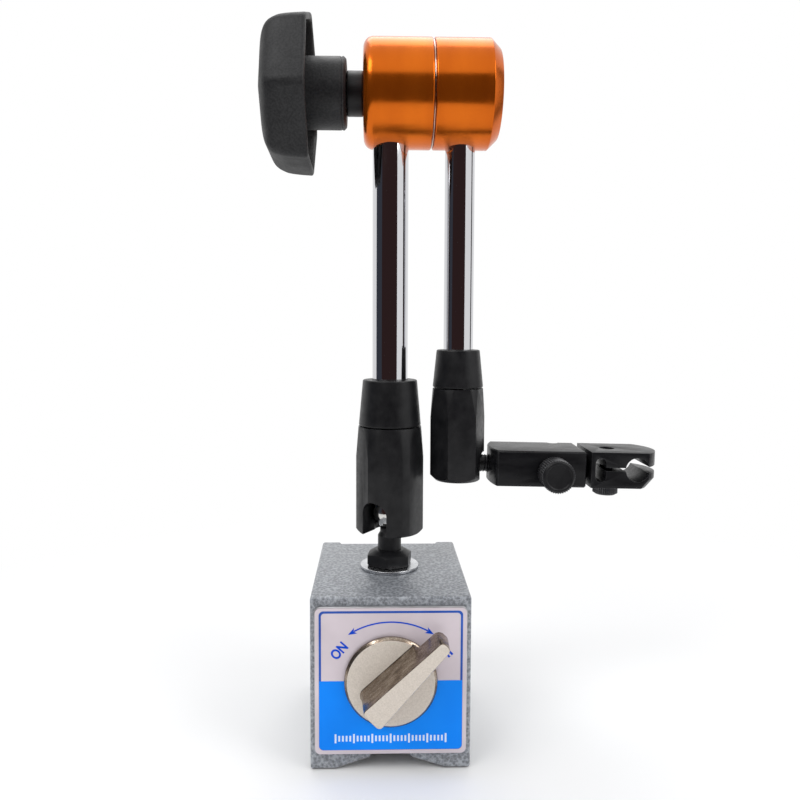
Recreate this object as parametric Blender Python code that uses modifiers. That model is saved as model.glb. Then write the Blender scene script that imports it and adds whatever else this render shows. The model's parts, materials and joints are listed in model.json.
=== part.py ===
# Magnetic holder for a dial indicator: switchable base, locking double arm and clamp head.
# Metres, +Z up. The pieces are laid out about the middle of the block's underside and hang
# from empties on the joints' axes; the whole stands on the middle of its own footprint.

import math

import bmesh
import bpy
from mathutils import Matrix

# Clearances shared by every mating pair
gap = 0.0003
flat_gap = 0.00015
overrun = 0.004

# Magnetic block
base_width = 0.050
base_depth = 0.060
base_height = 0.055
base_edge = 0.0007
spacer_width = 0.0122
channel_depth = 0.008
foot_width = 0.008
groove_rise = 0.0036
relief_side = 0.007
relief_depth = 0.002
tie_pin_radius = 0.002
tie_pin_cover = 0.010
tie_pin_drop = 0.005
tie_pin_setback = 0.010

# Rotor that switches the magnet, bored between a roof and a floor of iron
rotor_roof = 0.0102
rotor_floor = 0.0062
rotor_setback = 0.0045
rotor_rear_play = 0.0007
rotor_cap_thickness = 0.0025
magnet_thickness = 0.012
journal_radius = 0.0045
rear_journal_radius = 0.003
rear_journal_length = 0.0021
bush_wall = 0.0018
shaft_tip_radius = 0.0018
shaft_tip_length = 0.008
stop_pin_radius = 0.0012
stop_pin_inset = 0.0019
stop_pin_length = 0.0045
switch_travel_deg = 90

# Front and rear plates
cover_side = 0.0015
cover_bottom = 0.0060
cover_top_margin = 0.0025
cover_thickness = 0.0016
cover_corner = 0.0016
label_margin = 0.0002
label_thickness = 0.00035
label_hole_radius = 0.009
cover_screw_inset = 0.0045
screw_radius = 0.0014
screw_head_radius = 0.0026
screw_head_depth = 0.0010
screw_length = 0.006
rear_cover_bottom = 0.0052
rear_cover_top_margin = 0.0025
rear_cover_thickness = 0.0015
rear_screw_inset = 0.0085

# Switch dial, its lever leaning to the right at rest
dial_radius = 0.0143
dial_thickness = 0.00175
dial_chamfer = 0.0009
lever_height = 0.0116
lever_lean_deg = 44.4
lever_long_reach = 0.0230
lever_short_reach = 0.0087
lever_tip_half_width = 0.0019
lever_tail_half_width = 0.0036
lever_draft = 0.0010
lever_root_depth = 0.0009
lever_overhang_rise = 0.0032
lever_corner = 0.0014

# Ball stud on top of the block
washer_radius = 0.010
washer_play = 0.0005
washer_thickness = 0.0010
hex_across_flats = 0.014
hex_height = 0.0050
hex_crown_radius = 0.0052
hex_crown_drop = 0.0017
hex_foot_chamfer = 0.0005
hex_turn_deg = 20.5
stud_thread_radius = 0.0039
stud_floor = 0.0017
neck_radius = 0.0040
neck_length = 0.0049
neck_taper = 0.0013
neck_top_radius = 0.00325
neck_top_length = 0.0014
ball_seat_sink = 0.0003
ball_pin_radius = 0.0024
ball_pin_setback = 0.0010

# Main arm, its length from the ball's middle to the elbow's axis
main_arm_length = 0.1401
main_ball_radius = 0.0059
main_ball_play = 0.0004
main_socket_corner = 0.0115
main_socket_taper = 0.0008
main_flat_depth = 0.0009
main_socket_drop = 0.0067
main_socket_rise = 0.0295
main_socket_taper_start = 0.0192
main_socket_edge = 0.0010
main_slot_play = 0.0007
main_slot_turn_deg = -33
main_lip_hold = 0.0007
main_lip_height = 0.0034
main_cap_radius = 0.0106
main_cap_top_radius = 0.0092
main_cap_height = 0.0156
cap_edge = 0.0004
main_rod_radius = 0.0060
main_rod_stop = 0.0010
push_rod_play = 0.0005
main_push_rod_radius = 0.0024
main_cup_rise = 0.0035
main_cup_crown = 0.0051

# Elbow between the two arms, its walls measured from the rods' sides
elbow_radius = 0.01775
elbow_left_wall = 0.0030
elbow_split_wall = 0.0077
elbow_right_wall = 0.00725
elbow_washer_thickness = 0.0004
elbow_washer_inset = 0.00045
elbow_fillet = 0.0033
elbow_chamfer = 0.0032
elbow_edge = 0.0004
elbow_cavity_radius = 0.0090
elbow_end_wall = 0.0050
elbow_inner_wall = 0.0030
nut_recess_play = 0.0010
nut_recess_depth = 0.0039
rod_end_wall = 0.00105
drawbar_radius = 0.0040
drawbar_setback = 0.0006
nut_across_flats = 0.012
nut_height = 0.0025
nut_washer_margin = 0.0001
nut_washer_thickness = 0.0008
wedge_wall = 0.0020
wedge_slope_share = 0.24
wedge_lead = 0.0034
wedge_length = 0.0068

# Star knob
knob_collar_radius = 0.00725
knob_collar_length = 0.0053
knob_hub_radius = 0.0116
knob_hub_edge = 0.0008
knob_insert_wall = 0.0015
knob_insert_length = 0.0210
knob_length = 0.0282
knob_hub_length = 0.0116
knob_corner_reach = 0.0267
knob_corner_round = 0.0040
knob_wall = 0.0024
knob_lobes = 7
knob_turn_deg = 20.4
knob_dome_shares = (
    (1.0, 0.0), (0.99, 0.25), (0.975, 0.45), (0.955, 0.56), (0.91, 0.70), (0.84, 0.80),
    (0.72, 0.875), (0.50, 0.94), (0.25, 0.985), (0.06, 1.0))

# Second arm, beside the first with a little room between their sockets
arm_gap = 0.00226
second_arm_length = 0.1232
second_ball_radius = 0.0050
second_socket_corner = 0.00939
second_socket_taper = 0.00084
second_flat_depth = 0.00126
second_socket_drop = 0.0058
second_socket_rise = 0.0256
second_socket_taper_start = 0.0156
second_socket_edge = 0.0018
second_slot_play = 0.00045
second_hex_turn_deg = 5
second_lip_hold = 0.0008
second_lip_height = 0.0032
second_cap_radius = 0.0086
second_cap_top_radius = 0.0073
second_cap_height = 0.0128
second_rod_radius = 0.0050
second_rod_stop = 0.0008
second_push_rod_radius = 0.0021
second_cup_rise = 0.0030
second_cup_crown = 0.0043

# Clamp head, hanging a little low on its stud
head_droop_deg = 1.2
stud_radius = 0.0030
stud_grip = 0.0115
stud_ball_gap = 0.0004
stud_pin_radius = 0.0019
stud_pin_depth = 0.0044
block_clearance = 0.00111
block_length = 0.03165
block_end_radius = 0.0300
head_width = 0.0200
head_height = 0.0120
head_edge = 0.0005
pocket_inset = 0.0163
notch_radius = 0.0020
notch_inset = 0.00735
screw_inset = 0.0206
screw_sink = 0.0010
adjust_shank_radius = 0.0025
adjust_head_radius = 0.0055
adjust_head_length = 0.0080
adjust_head_edge = 0.0006
pivot_inset = 0.00365
pivot_radius = 0.0015
pivot_cover = 0.0012
spring_radius = 0.0014
spring_wire_radius = 0.0003
spring_play = 0.0007
spring_turns = 5
spring_floor = 0.0014
jaw_gap = 0.0017
jaw_length = 0.0238
jaw_end_bulge = 0.00443
jaw_chamfer_run = 0.0026
jaw_chamfer_rise = 0.0031
tongue_play = 0.0010
tongue_width = 0.0060
tongue_height = 0.0080
tongue_tip_gap = 0.0005
stem_bore_radius = 0.00405
stem_bore_inset = 0.00825
stem_bore_rise = 0.0003
slit_width = 0.0012
mouth_width = 0.0022
relief_slot_width = 0.0036
relief_slot_wall = 0.0020
relief_slot_inset = 0.00315
clamp_screw_inset = 0.00775
clamp_shank_radius = 0.0023
clamp_tip_setback = 0.0010
clamp_head_radius = 0.0042
clamp_head_length = 0.0036

# Smoothness of round surfaces
round_steps = 32
small_steps = 20
tiny_steps = 12

# The block and its rotor, worked out from the sizes above
half_width = base_width / 2
half_spacer = spacer_width / 2
block_front = -base_depth / 2
groove_width = base_width - 2 * foot_width
relief_width = base_width - 2 * relief_side
rotor_bore = (base_height - channel_depth - rotor_roof - rotor_floor) / 2
rotor_radius = rotor_bore - gap
rotor_height = channel_depth + rotor_floor + rotor_bore
rotor_length = base_depth - rotor_setback - relief_depth - rotor_rear_play
rotor_front = -rotor_setback
rotor_back = rotor_front - rotor_length
front_cap_face = rotor_front + rotor_cap_thickness
core_front = rotor_front - gap
core_back = rotor_back + rotor_cap_thickness + gap
core_length = core_front - core_back
core_middle = (core_front + core_back) / 2
stop_pin_circle = rotor_radius - stop_pin_inset

# The plates and the dial, in front of the block
cover_width = base_width - 2 * cover_side
cover_height = base_height - cover_bottom - cover_top_margin
cover_middle = cover_bottom + cover_height / 2 - rotor_height
cover_front = flat_gap + cover_thickness
label_back = cover_front + flat_gap
dial_back = label_back + label_thickness + gap
dial_front = dial_back + dial_thickness
lever_front = dial_front + lever_height

# The stud and the main arm, upwards from the block
washer_bottom = base_height + flat_gap
hex_bottom = washer_bottom + washer_thickness + flat_gap
hex_top = hex_bottom + hex_height
neck_end = hex_top + neck_length
taper_end = neck_end + neck_taper
shoulder = taper_end + neck_top_length
main_ball_height = shoulder + main_ball_radius - ball_seat_sink
elbow_height = main_ball_height + main_arm_length
second_ball_height = elbow_height - second_arm_length
main_cup_top = main_ball_radius + main_cup_crown
main_rod_start = main_cup_top + main_rod_stop
second_cup_top = second_ball_radius + second_cup_crown
second_rod_start = second_cup_top + second_rod_stop
rod_top = elbow_height - elbow_cavity_radius - rod_end_wall

# The elbow and the knob, along their common axis
arm_spacing = main_socket_corner + second_socket_corner + arm_gap
elbow_left_end = -main_rod_radius - elbow_left_wall
elbow_split = main_rod_radius + elbow_split_wall
elbow_right_end = arm_spacing + second_rod_radius + elbow_right_wall
elbow_left_face = elbow_split - elbow_washer_thickness / 2 - flat_gap
elbow_right_face = elbow_split + elbow_washer_thickness / 2 + flat_gap
nut_washer_radius = nut_across_flats / math.sqrt(3) + nut_washer_margin
nut_recess_radius = nut_washer_radius + nut_recess_play
recess_face = elbow_right_end - nut_recess_depth
collar_start = elbow_left_end - flat_gap
knob_start = collar_start - knob_collar_length - flat_gap
knob_face_reach = knob_length - knob_start
knob_rim_reach = knob_hub_length - knob_start
knob_insert_radius = drawbar_radius + knob_insert_wall
drawbar_reach = elbow_right_end - drawbar_setback
drawbar_tail = knob_insert_length - knob_start - drawbar_setback
wedge_radius = drawbar_radius + wedge_wall

# The clamp head, outwards from its ball
head_half = head_height / 2
head_side = head_width / 2
stud_start = second_ball_radius + stud_ball_gap
block_start = second_socket_corner + block_clearance
block_end = block_start + block_length
stud_end = block_start + stud_grip
pocket_start = block_start + pocket_inset
pocket_width = tongue_width + 2 * tongue_play
pocket_height = tongue_height + 2 * gap
screw_place = block_start + screw_inset
notch_place = block_end - notch_inset
pivot_place = block_end - pivot_inset
pivot_length = head_height - pivot_cover
tongue_start = pocket_start + tongue_play
tongue_face = tongue_width / 2 + tongue_tip_gap
spring_hole_depth = head_side - pocket_width / 2 - spring_floor
spring_length = pocket_width / 2 + spring_hole_depth - tongue_face - spring_play
jaw_start = block_end + jaw_gap
jaw_end_radius = (head_side ** 2 + jaw_end_bulge ** 2) / (2 * jaw_end_bulge)
jaw_end = jaw_start + jaw_length
stem_bore_place = jaw_end - stem_bore_inset
relief_slot_place = jaw_start + relief_slot_inset
relief_slot_height = head_height - 2 * relief_slot_wall
clamp_screw_place = jaw_start + clamp_screw_inset
clamp_shank_length = head_height - clamp_tip_setback

# Turns, and the middle of the footprint
droop = math.radians(head_droop_deg)
middle_x = (arm_spacing + jaw_end * math.cos(droop) - knob_face_reach) / 2
middle_y = (base_depth / 2 + block_front - lever_front) / 2
quarter_deg = 90
quarter = math.radians(quarter_deg)
along_x = (0, quarter, 0)
along_y = (-quarter, 0, 0)
towards_viewer = (quarter, 0, 0)


def clear_scene():
    for item in list(bpy.data.objects):
        bpy.data.objects.remove(item)


def add_collection(name):
    group = bpy.data.collections.new(name)
    bpy.context.scene.collection.children.link(group)
    return group


clear_scene()
parts = add_collection("indicator_holder")
cutters = add_collection("cutters")


def finish_material(name, colour, roughness, metallic):
    finish = bpy.data.materials.new(name)
    finish.use_nodes = True
    shader = finish.node_tree.nodes["Principled BSDF"]
    shader.inputs["Base Color"].default_value = (*colour, 1)
    shader.inputs["Roughness"].default_value = roughness
    shader.inputs["Metallic"].default_value = metallic
    return finish


finishes = {
    "hammertone": finish_material("hammertone", (0.30, 0.31, 0.33), 0.5, 0.2),
    "iron": finish_material("iron", (0.30, 0.30, 0.32), 0.5, 1),
    "magnet": finish_material("magnet", (0.10, 0.10, 0.11), 0.5, 0.6),
    "alloy": finish_material("alloy", (0.62, 0.62, 0.64), 0.4, 1),
    "label": finish_material("label", (0.60, 0.62, 0.66), 0.4, 0.4),
    "nickel": finish_material("nickel", (0.62, 0.57, 0.50), 0.35, 0.9),
    "zinc": finish_material("zinc", (0.75, 0.76, 0.78), 0.25, 1),
    "black_steel": finish_material("black_steel", (0.03, 0.03, 0.035), 0.4, 0.6),
    "bright_steel": finish_material("bright_steel", (0.78, 0.78, 0.78), 0.15, 1),
    "chrome": finish_material("chrome", (0.85, 0.85, 0.87), 0.06, 1),
    "orange": finish_material("orange", (0.90, 0.36, 0.04), 0.25, 0.9),
    "black_plastic": finish_material("black_plastic", (0.05, 0.05, 0.05), 0.55, 0),
    "brass": finish_material("brass", (0.75, 0.55, 0.25), 0.3, 1),
}


def hold(item, parent, place=(0, 0, 0), turn=(0, 0, 0)):
    item.parent = parent
    item.location = place
    item.rotation_euler = turn
    return item


def axis_empty(name, parent=None, place=(0, 0, 0), turn=(0, 0, 0)):
    item = bpy.data.objects.new(name, None)
    item.empty_display_size = overrun
    parts.objects.link(item)
    return hold(item, parent, place, turn)


def add_body(name, mesh, finish=None):
    item = bpy.data.objects.new(name, mesh)
    if finish is None:
        cutters.objects.link(item)
        item.hide_render = True
        item.display_type = "WIRE"
    else:
        parts.objects.link(item)
        mesh.materials.append(finishes[finish])
        mesh.shade_smooth()
        mesh.set_sharp_from_angle(angle=math.radians(35))
    return item


def mesh_from(name, work):
    bmesh.ops.recalc_face_normals(work, faces=work.faces)
    mesh = bpy.data.meshes.new(name)
    work.to_mesh(mesh)
    work.free()
    return mesh


def box(name, size, finish=None):
    work = bmesh.new()
    bmesh.ops.create_cube(work, size=1, matrix=Matrix.Diagonal((*size, 1)))
    return add_body(name, mesh_from(name, work), finish)


def rod(name, radius, length, finish=None, steps=small_steps):
    work = bmesh.new()
    bmesh.ops.create_cone(
        work, cap_ends=True, segments=steps, radius1=radius, radius2=radius, depth=length)
    return add_body(name, mesh_from(name, work), finish)


def hexagon(name, across_flats, height, finish=None):
    return rod(name, across_flats / math.sqrt(3), height, finish, 6)


def ball(name, radius, finish=None):
    work = bmesh.new()
    bmesh.ops.create_uvsphere(work, u_segments=small_steps, v_segments=tiny_steps, radius=radius)
    return add_body(name, mesh_from(name, work), finish)


def turned(name, profile, finish=None, steps=round_steps, bored=False):
    # The profile holds (radius, height) pairs, down the outer side and up any bore.
    work = bmesh.new()
    points = [work.verts.new((radius, 0, height)) for radius, height in profile]
    pairs = list(zip(points, points[1:]))
    if bored:
        pairs.append((points[-1], points[0]))
    for first, second in pairs:
        work.edges.new((first, second))
    mesh = bpy.data.meshes.new(name)
    work.to_mesh(mesh)
    work.free()
    item = add_body(name, mesh, finish)
    spin = item.modifiers.new("turn", "SCREW")
    spin.axis = "Z"
    spin.angle = math.tau
    spin.steps = steps
    spin.render_steps = steps
    spin.use_merge_vertices = True
    spin.merge_threshold = 0.00001
    return item


def curve_mesh(name, curve):
    guide = bpy.data.objects.new(name + "_guide", curve)
    cutters.objects.link(guide)
    bpy.context.view_layer.update()
    solid = bpy.data.meshes.new_from_object(guide.evaluated_get(bpy.context.evaluated_depsgraph_get()))
    bpy.data.objects.remove(guide)
    work = bmesh.new()
    work.from_mesh(solid)
    bpy.data.meshes.remove(solid)
    bmesh.ops.remove_doubles(work, verts=work.verts, dist=0.000001)
    return mesh_from(name, work)


def plate(name, outline, thickness, finish=None):
    # A closed outline in the local XY plane, half the thickness to either side of it.
    curve = bpy.data.curves.new(name, "CURVE")
    curve.dimensions = "2D"
    curve.fill_mode = "BOTH"
    curve.extrude = thickness / 2
    spline = curve.splines.new("POLY")
    spline.points.add(len(outline) - 1)
    for point, (across, along) in zip(spline.points, outline):
        point.co = (across, along, 0, 1)
    spline.use_cyclic_u = True
    return add_body(name, curve_mesh(name, curve), finish)


def loft(name, rings, finish=None):
    # Each ring is an outline and its height; all outlines have as many points.
    work = bmesh.new()
    loops = []
    for outline, height in rings:
        loops.append([work.verts.new((across, along, height)) for across, along in outline])
    for lower, upper in zip(loops, loops[1:]):
        for index in range(len(lower)):
            after = (index + 1) % len(lower)
            work.faces.new((lower[index], lower[after], upper[after], upper[index]))
    work.faces.new(loops[0])
    work.faces.new(loops[-1])
    return add_body(name, mesh_from(name, work), finish)


def combine(target, other, how="DIFFERENCE"):
    step = target.modifiers.new(other.name, "BOOLEAN")
    step.operation = how
    step.solver = "EXACT"
    step.object = other
    return target


def chamfer_edges(item, width):
    bevel = item.modifiers.new("edges", "BEVEL")
    bevel.width = width
    bevel.segments = 1
    bevel.limit_method = "ANGLE"
    bevel.angle_limit = math.radians(50)
    return item


def arc(centre_across, centre_up, radius, start_deg, end_deg, count):
    points = []
    for index in range(count + 1):
        angle = math.radians(start_deg + (end_deg - start_deg) * index / count)
        points.append((centre_across + radius * math.cos(angle), centre_up + radius * math.sin(angle)))
    return points


def rounded_rectangle(width, height, corner):
    across = width / 2 - corner
    up = height / 2 - corner
    return (
        arc(across, up, corner, 0, 90, 4) + arc(-across, up, corner, 90, 180, 4)
        + arc(-across, -up, corner, 180, 270, 4) + arc(across, -up, corner, 270, 360, 4))


root = axis_empty("holder", None, (-middle_x, -middle_y, 0))
switch_axis = axis_empty("switch_axis", root, (0, block_front, rotor_height), towards_viewer)
main_joint = axis_empty("main_joint", root, (0, 0, main_ball_height))
elbow_axis = axis_empty("elbow_axis", main_joint, (0, 0, elbow_height - main_ball_height), along_x)
second_joint = axis_empty(
    "second_joint", elbow_axis, (elbow_height - second_ball_height, 0, arm_spacing), (0, -quarter, 0))
head = axis_empty("head", second_joint, (0, 0, 0), (0, droop, 0))
adjust_axis = axis_empty("adjust_axis", head, (screw_place, 0, -screw_sink), towards_viewer)
jaw_pivot = axis_empty("jaw_pivot", head, (pivot_place, 0, 0))
clamp_axis = axis_empty("clamp_axis", jaw_pivot, (clamp_screw_place - pivot_place, 0, 0))


# Block: two iron poles with an alloy spacer between them, bored for the rotor

def pole(name, side):
    inner = half_spacer + flat_gap
    outline = [
        (inner, groove_rise), (groove_width / 2, 0), (half_width - base_edge, 0), (half_width, base_edge),
        (half_width, base_height - base_edge), (half_width - base_edge, base_height), (inner, base_height)]
    outline = [(side * across, up) for across, up in outline]
    item = plate(name, outline, base_depth, "hammertone")
    return hold(item, root, (0, 0, 0), towards_viewer)


def spacer(name, bottom, top):
    item = box(name, (spacer_width, base_depth, top - bottom), "alloy")
    return hold(item, root, (0, 0, (bottom + top) / 2))


def magnetic_block():
    bore = rod("rotor_bore", rotor_bore, base_depth + 2 * overrun, None, round_steps)
    hold(bore, root, (0, 0, rotor_height), towards_viewer)
    relief = box("rear_relief", (relief_width, 2 * relief_depth, base_height + 2 * overrun))
    hold(relief, root, (0, base_depth / 2, base_height / 2))
    stud_hole = rod("stud_hole", stud_thread_radius + gap, 2 * (rotor_roof - stud_floor + gap))
    hold(stud_hole, root, (0, 0, base_height))
    tie_pin_length = base_width - 2 * tie_pin_cover
    left = pole("pole_left", -1)
    right = pole("pole_right", 1)
    top = spacer("pole_spacer_top", rotor_height + rotor_radius / 2, base_height)
    bottom = spacer("pole_spacer_bottom", channel_depth, rotor_height - rotor_radius / 2)
    for item in (left, right, top, bottom):
        combine(item, bore)
        combine(item, relief)
    combine(top, stud_hole)
    for name, side in (("tie_pin_front", -1), ("tie_pin_rear", 1)):
        place = (0, side * (base_depth / 2 - tie_pin_setback), base_height - tie_pin_drop)
        hold(rod(name, tie_pin_radius, tie_pin_length, "zinc", tiny_steps), root, place, along_x)
        hole = rod(name + "_hole", tie_pin_radius + gap, tie_pin_length + 2 * gap, None, tiny_steps)
        hold(hole, root, place, along_x)
        for item in (left, right, top):
            combine(item, hole)
    return left, right


def countersunk_screw(name, parent, place, turn, holes_in):
    # The head's face lies at the local origin, flush with the plate that it holds.
    profile = [
        (0, 0), (screw_head_radius, 0), (screw_radius, -screw_head_depth),
        (screw_radius, -screw_length), (0, -screw_length)]
    hold(turned(name, profile, "zinc", tiny_steps), parent, place, turn)
    wide = screw_head_radius + gap
    narrow = screw_radius + gap
    seat = [
        (0, overrun), (wide, overrun), (wide, 0), (narrow, -screw_head_depth),
        (narrow, -screw_length - gap), (0, -screw_length - gap)]
    hole = hold(turned(name + "_hole", seat, None, tiny_steps), parent, place, turn)
    for item in holes_in:
        combine(item, hole)


def front_plates(left, right):
    cover = plate(
        "front_cover", rounded_rectangle(cover_width, cover_height, cover_corner),
        cover_thickness, "alloy")
    hold(cover, switch_axis, (0, cover_middle, flat_gap + cover_thickness / 2))
    cover_hole = rod("cover_hole", journal_radius + bush_wall + 2 * gap, base_depth)
    combine(cover, hold(cover_hole, switch_axis))
    across = cover_width / 2 - cover_screw_inset
    up = cover_height / 2 - cover_screw_inset
    corners = (("top_left", -1, 1), ("top_right", 1, 1), ("bottom_left", -1, -1), ("bottom_right", 1, -1))
    for corner, side, level in corners:
        place = (side * across, cover_middle + level * up, cover_front)
        pole_behind = left if side < 0 else right
        countersunk_screw("cover_screw_" + corner, switch_axis, place, (0, 0, 0), (cover, pole_behind))
    label_width = cover_width - 2 * label_margin
    label_height = cover_height - 2 * label_margin
    label = plate(
        "label_plate", rounded_rectangle(label_width, label_height, cover_corner), label_thickness, "label")
    hold(label, switch_axis, (0, cover_middle, label_back + label_thickness / 2))
    label_hole = rod("label_hole", label_hole_radius, base_depth)
    combine(label, hold(label_hole, switch_axis))
    pin_place = (0, -stop_pin_circle, cover_front - stop_pin_length / 2 - flat_gap)
    pin = rod("stop_pin", stop_pin_radius, stop_pin_length, "zinc", tiny_steps)
    hold(pin, switch_axis, pin_place)
    pin_hole = rod("stop_pin_hole", stop_pin_radius + gap, stop_pin_length + overrun, None, tiny_steps)
    combine(cover, hold(pin_hole, switch_axis, pin_place))


def rear_plate(left, right):
    back = base_depth / 2 - relief_depth + flat_gap + rear_cover_thickness
    height = base_height - rear_cover_bottom - rear_cover_top_margin
    cover = box("rear_cover", (relief_width - 2 * gap, rear_cover_thickness, height), "hammertone")
    hold(cover, root, (0, back - rear_cover_thickness / 2, rear_cover_bottom + height / 2))
    hole = rod("rear_cover_hole", rear_journal_radius + bush_wall + 2 * gap, base_depth)
    combine(cover, hold(hole, switch_axis, (0, 0, -base_depth)))
    across = (relief_width + spacer_width) / 4
    corners = (("top_left", -1, 1), ("top_right", 1, 1), ("bottom_left", -1, -1), ("bottom_right", 1, -1))
    up = base_height / 2 - rear_screw_inset
    for corner, side, level in corners:
        place = (side * across, back, base_height / 2 + level * up)
        pole_behind = left if side < 0 else right
        countersunk_screw("rear_screw_" + corner, root, place, along_y, (cover, pole_behind))


def bush(name, inner, top, bottom):
    outer = inner + bush_wall
    profile = [(outer, top), (outer, bottom), (inner, bottom), (inner, top)]
    hold(turned(name, profile, "brass", small_steps, True), switch_axis)


def bushes():
    bush("front_bush", journal_radius + gap, cover_front - flat_gap, front_cap_face + gap)
    bush("rear_bush", rear_journal_radius + gap, rotor_back - gap, rotor_back - rear_journal_length)


# Rotor: a slab magnet between two iron segments, capped at both ends

def rotor():
    reach = math.sqrt(rotor_radius ** 2 - (magnet_thickness / 2 + gap) ** 2)
    magnet = box("rotor_magnet", (2 * reach, magnet_thickness, core_length), "magnet")
    hold(magnet, switch_axis, (0, 0, core_middle))
    spread = math.degrees(math.acos((magnet_thickness / 2 + gap) / rotor_radius))
    for name, facing in (("rotor_segment_upper", 90), ("rotor_segment_lower", 270)):
        outline = arc(0, 0, rotor_radius, facing - spread, facing + spread, 14)
        hold(plate(name, outline, core_length, "iron"), switch_axis, (0, 0, core_middle))
    rear_top = core_back - gap
    journal_end = rotor_back - rear_journal_length
    rear = turned(
        "rotor_rear_cap",
        [(0, rear_top), (rotor_radius, rear_top), (rotor_radius, rotor_back),
         (rear_journal_radius, rotor_back), (rear_journal_radius, journal_end), (0, journal_end)],
        "iron")
    hold(rear, switch_axis)


def switch_shaft():
    tip = dial_back + shaft_tip_length
    shoulder = dial_back - gap
    shaft = turned(
        "switch_shaft",
        [(0, tip), (shaft_tip_radius, tip), (shaft_tip_radius, shoulder), (journal_radius, shoulder),
         (journal_radius, front_cap_face), (rotor_radius, front_cap_face), (rotor_radius, rotor_front),
         (0, rotor_front)],
        "iron")
    hold(shaft, switch_axis)
    # The stop pin stands at one end of this notch at rest, and at the other when switched on.
    margin = math.degrees((stop_pin_radius + gap) / stop_pin_circle)
    start = -quarter_deg - switch_travel_deg - margin
    end = -quarter_deg + margin
    outline = (
        arc(0, 0, rotor_radius + overrun, start, end, tiny_steps)
        + arc(0, 0, stop_pin_circle - stop_pin_radius - gap, end, start, tiny_steps))
    notch = plate("stop_notch", outline, rotor_cap_thickness + overrun)
    combine(shaft, hold(notch, switch_axis, (0, 0, rotor_front + rotor_cap_thickness / 2)))


def lever_outline(grown):
    long_end = lever_long_reach + grown - lever_corner
    short_end = lever_short_reach + grown - lever_corner
    tip = lever_tip_half_width + grown - lever_corner
    tail = lever_tail_half_width + grown - lever_corner
    return (
        arc(long_end, tip, lever_corner, 0, 90, 4) + arc(-short_end, tail, lever_corner, 90, 180, 4)
        + arc(-short_end, -tail, lever_corner, 180, 270, 4) + arc(long_end, -tip, lever_corner, 270, 360, 4))


def switch_dial():
    dial = turned(
        "switch_dial",
        [(0, dial_front), (dial_radius - dial_chamfer, dial_front),
         (dial_radius, dial_front - dial_chamfer), (dial_radius, dial_back), (0, dial_back)],
        "nickel")
    hold(dial, switch_axis)
    rings = [(lever_outline(lever_draft), dial_front - lever_root_depth), (lever_outline(0), lever_front)]
    lever = loft("switch_lever", rings)
    # Beyond the disc the lever's underside is raised off the label
    reach = lever_long_reach + overrun
    top = dial_front + lever_overhang_rise
    under = dial_back - overrun
    inner = dial_radius - gap
    clearance = turned(
        "lever_clearance", [(reach, top), (reach, under), (inner, under), (inner, top)], None,
        round_steps, True)
    combine(lever, hold(clearance, switch_axis))
    combine(dial, hold(lever, switch_axis, (0, 0, 0), (0, 0, quarter - math.radians(lever_lean_deg))), "UNION")
    bore = rod("dial_bore", shaft_tip_radius + gap, 2 * (shaft_tip_length + gap), None, tiny_steps)
    combine(dial, hold(bore, switch_axis, (0, 0, dial_back)))


# Ball stud on the block

def ball_stud():
    inner = stud_thread_radius + washer_play
    washer = turned(
        "stud_washer",
        [(washer_radius, washer_bottom + washer_thickness), (washer_radius, washer_bottom),
         (inner, washer_bottom), (inner, washer_bottom + washer_thickness)],
        "zinc", round_steps, True)
    hold(washer, root)
    thread_end = base_height - rotor_roof + stud_floor
    pin_end = main_ball_height - ball_pin_setback
    middle = (hex_bottom + hex_top) / 2
    stud = turned(
        "ball_stud",
        [(0, pin_end), (ball_pin_radius, pin_end), (ball_pin_radius, shoulder),
         (neck_top_radius, shoulder), (neck_top_radius, taper_end), (neck_radius, neck_end),
         (neck_radius, middle), (stud_thread_radius, middle), (stud_thread_radius, thread_end),
         (0, thread_end)],
        "black_steel", small_steps)
    hold(stud, root)
    nut = hexagon("stud_hexagon", hex_across_flats, hex_height)
    hold(nut, root, (0, 0, middle), (0, 0, math.radians(hex_turn_deg)))
    corner = hex_across_flats / math.sqrt(3)
    flat = hex_across_flats / 2
    trim = turned(
        "stud_hexagon_trim",
        [(0, hex_top), (hex_crown_radius, hex_top), (corner, hex_top - hex_crown_drop),
         (corner, hex_bottom + hex_foot_chamfer), (flat, hex_bottom), (0, hex_bottom)])
    hold(trim, root)
    combine(nut, trim, "INTERSECT")
    combine(stud, nut, "UNION")
    main_ball = ball("main_ball", main_ball_radius, "bright_steel")
    hold(main_ball, main_joint)
    hole_end = pin_end + gap - main_ball_height
    hole = rod("main_ball_hole", ball_pin_radius + gap, hole_end + 2 * main_ball_radius)
    combine(main_ball, hold(hole, main_joint, (0, 0, hole_end / 2 - main_ball_radius)))


# Arms: a socket with its cap, a tube, and inside them the rod and cup that lock the ball

def socket_bore(rod_bore, rod_start, ball_bore, lip, lip_end, rise, drop):
    # Wide enough for the rod down to the rod's end, and for the ball below that
    return [
        (0, rise + overrun), (rod_bore, rise + overrun), (rod_bore, rod_start - gap),
        (ball_bore, rod_start - 2 * gap), (ball_bore, -lip_end / 2), (lip, -lip_end),
        (lip, -drop - overrun), (0, -drop - overrun)]


def socket(name, parent, corner, top_corner, flat, drop, rise, taper, edge, turn, bore_profile):
    item = turned(
        name,
        [(0, rise), (top_corner, rise), (corner, taper), (corner, edge - drop), (corner - edge, -drop),
         (0, -drop)],
        "black_steel")
    hold(item, parent)
    sides = hexagon(name + "_sides", 2 * flat, rise + drop + 2 * overrun)
    combine(item, hold(sides, parent, (0, 0, (rise - drop) / 2), (0, 0, turn)), "INTERSECT")
    combine(item, hold(turned(name + "_bore", bore_profile), parent))
    return item


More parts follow.
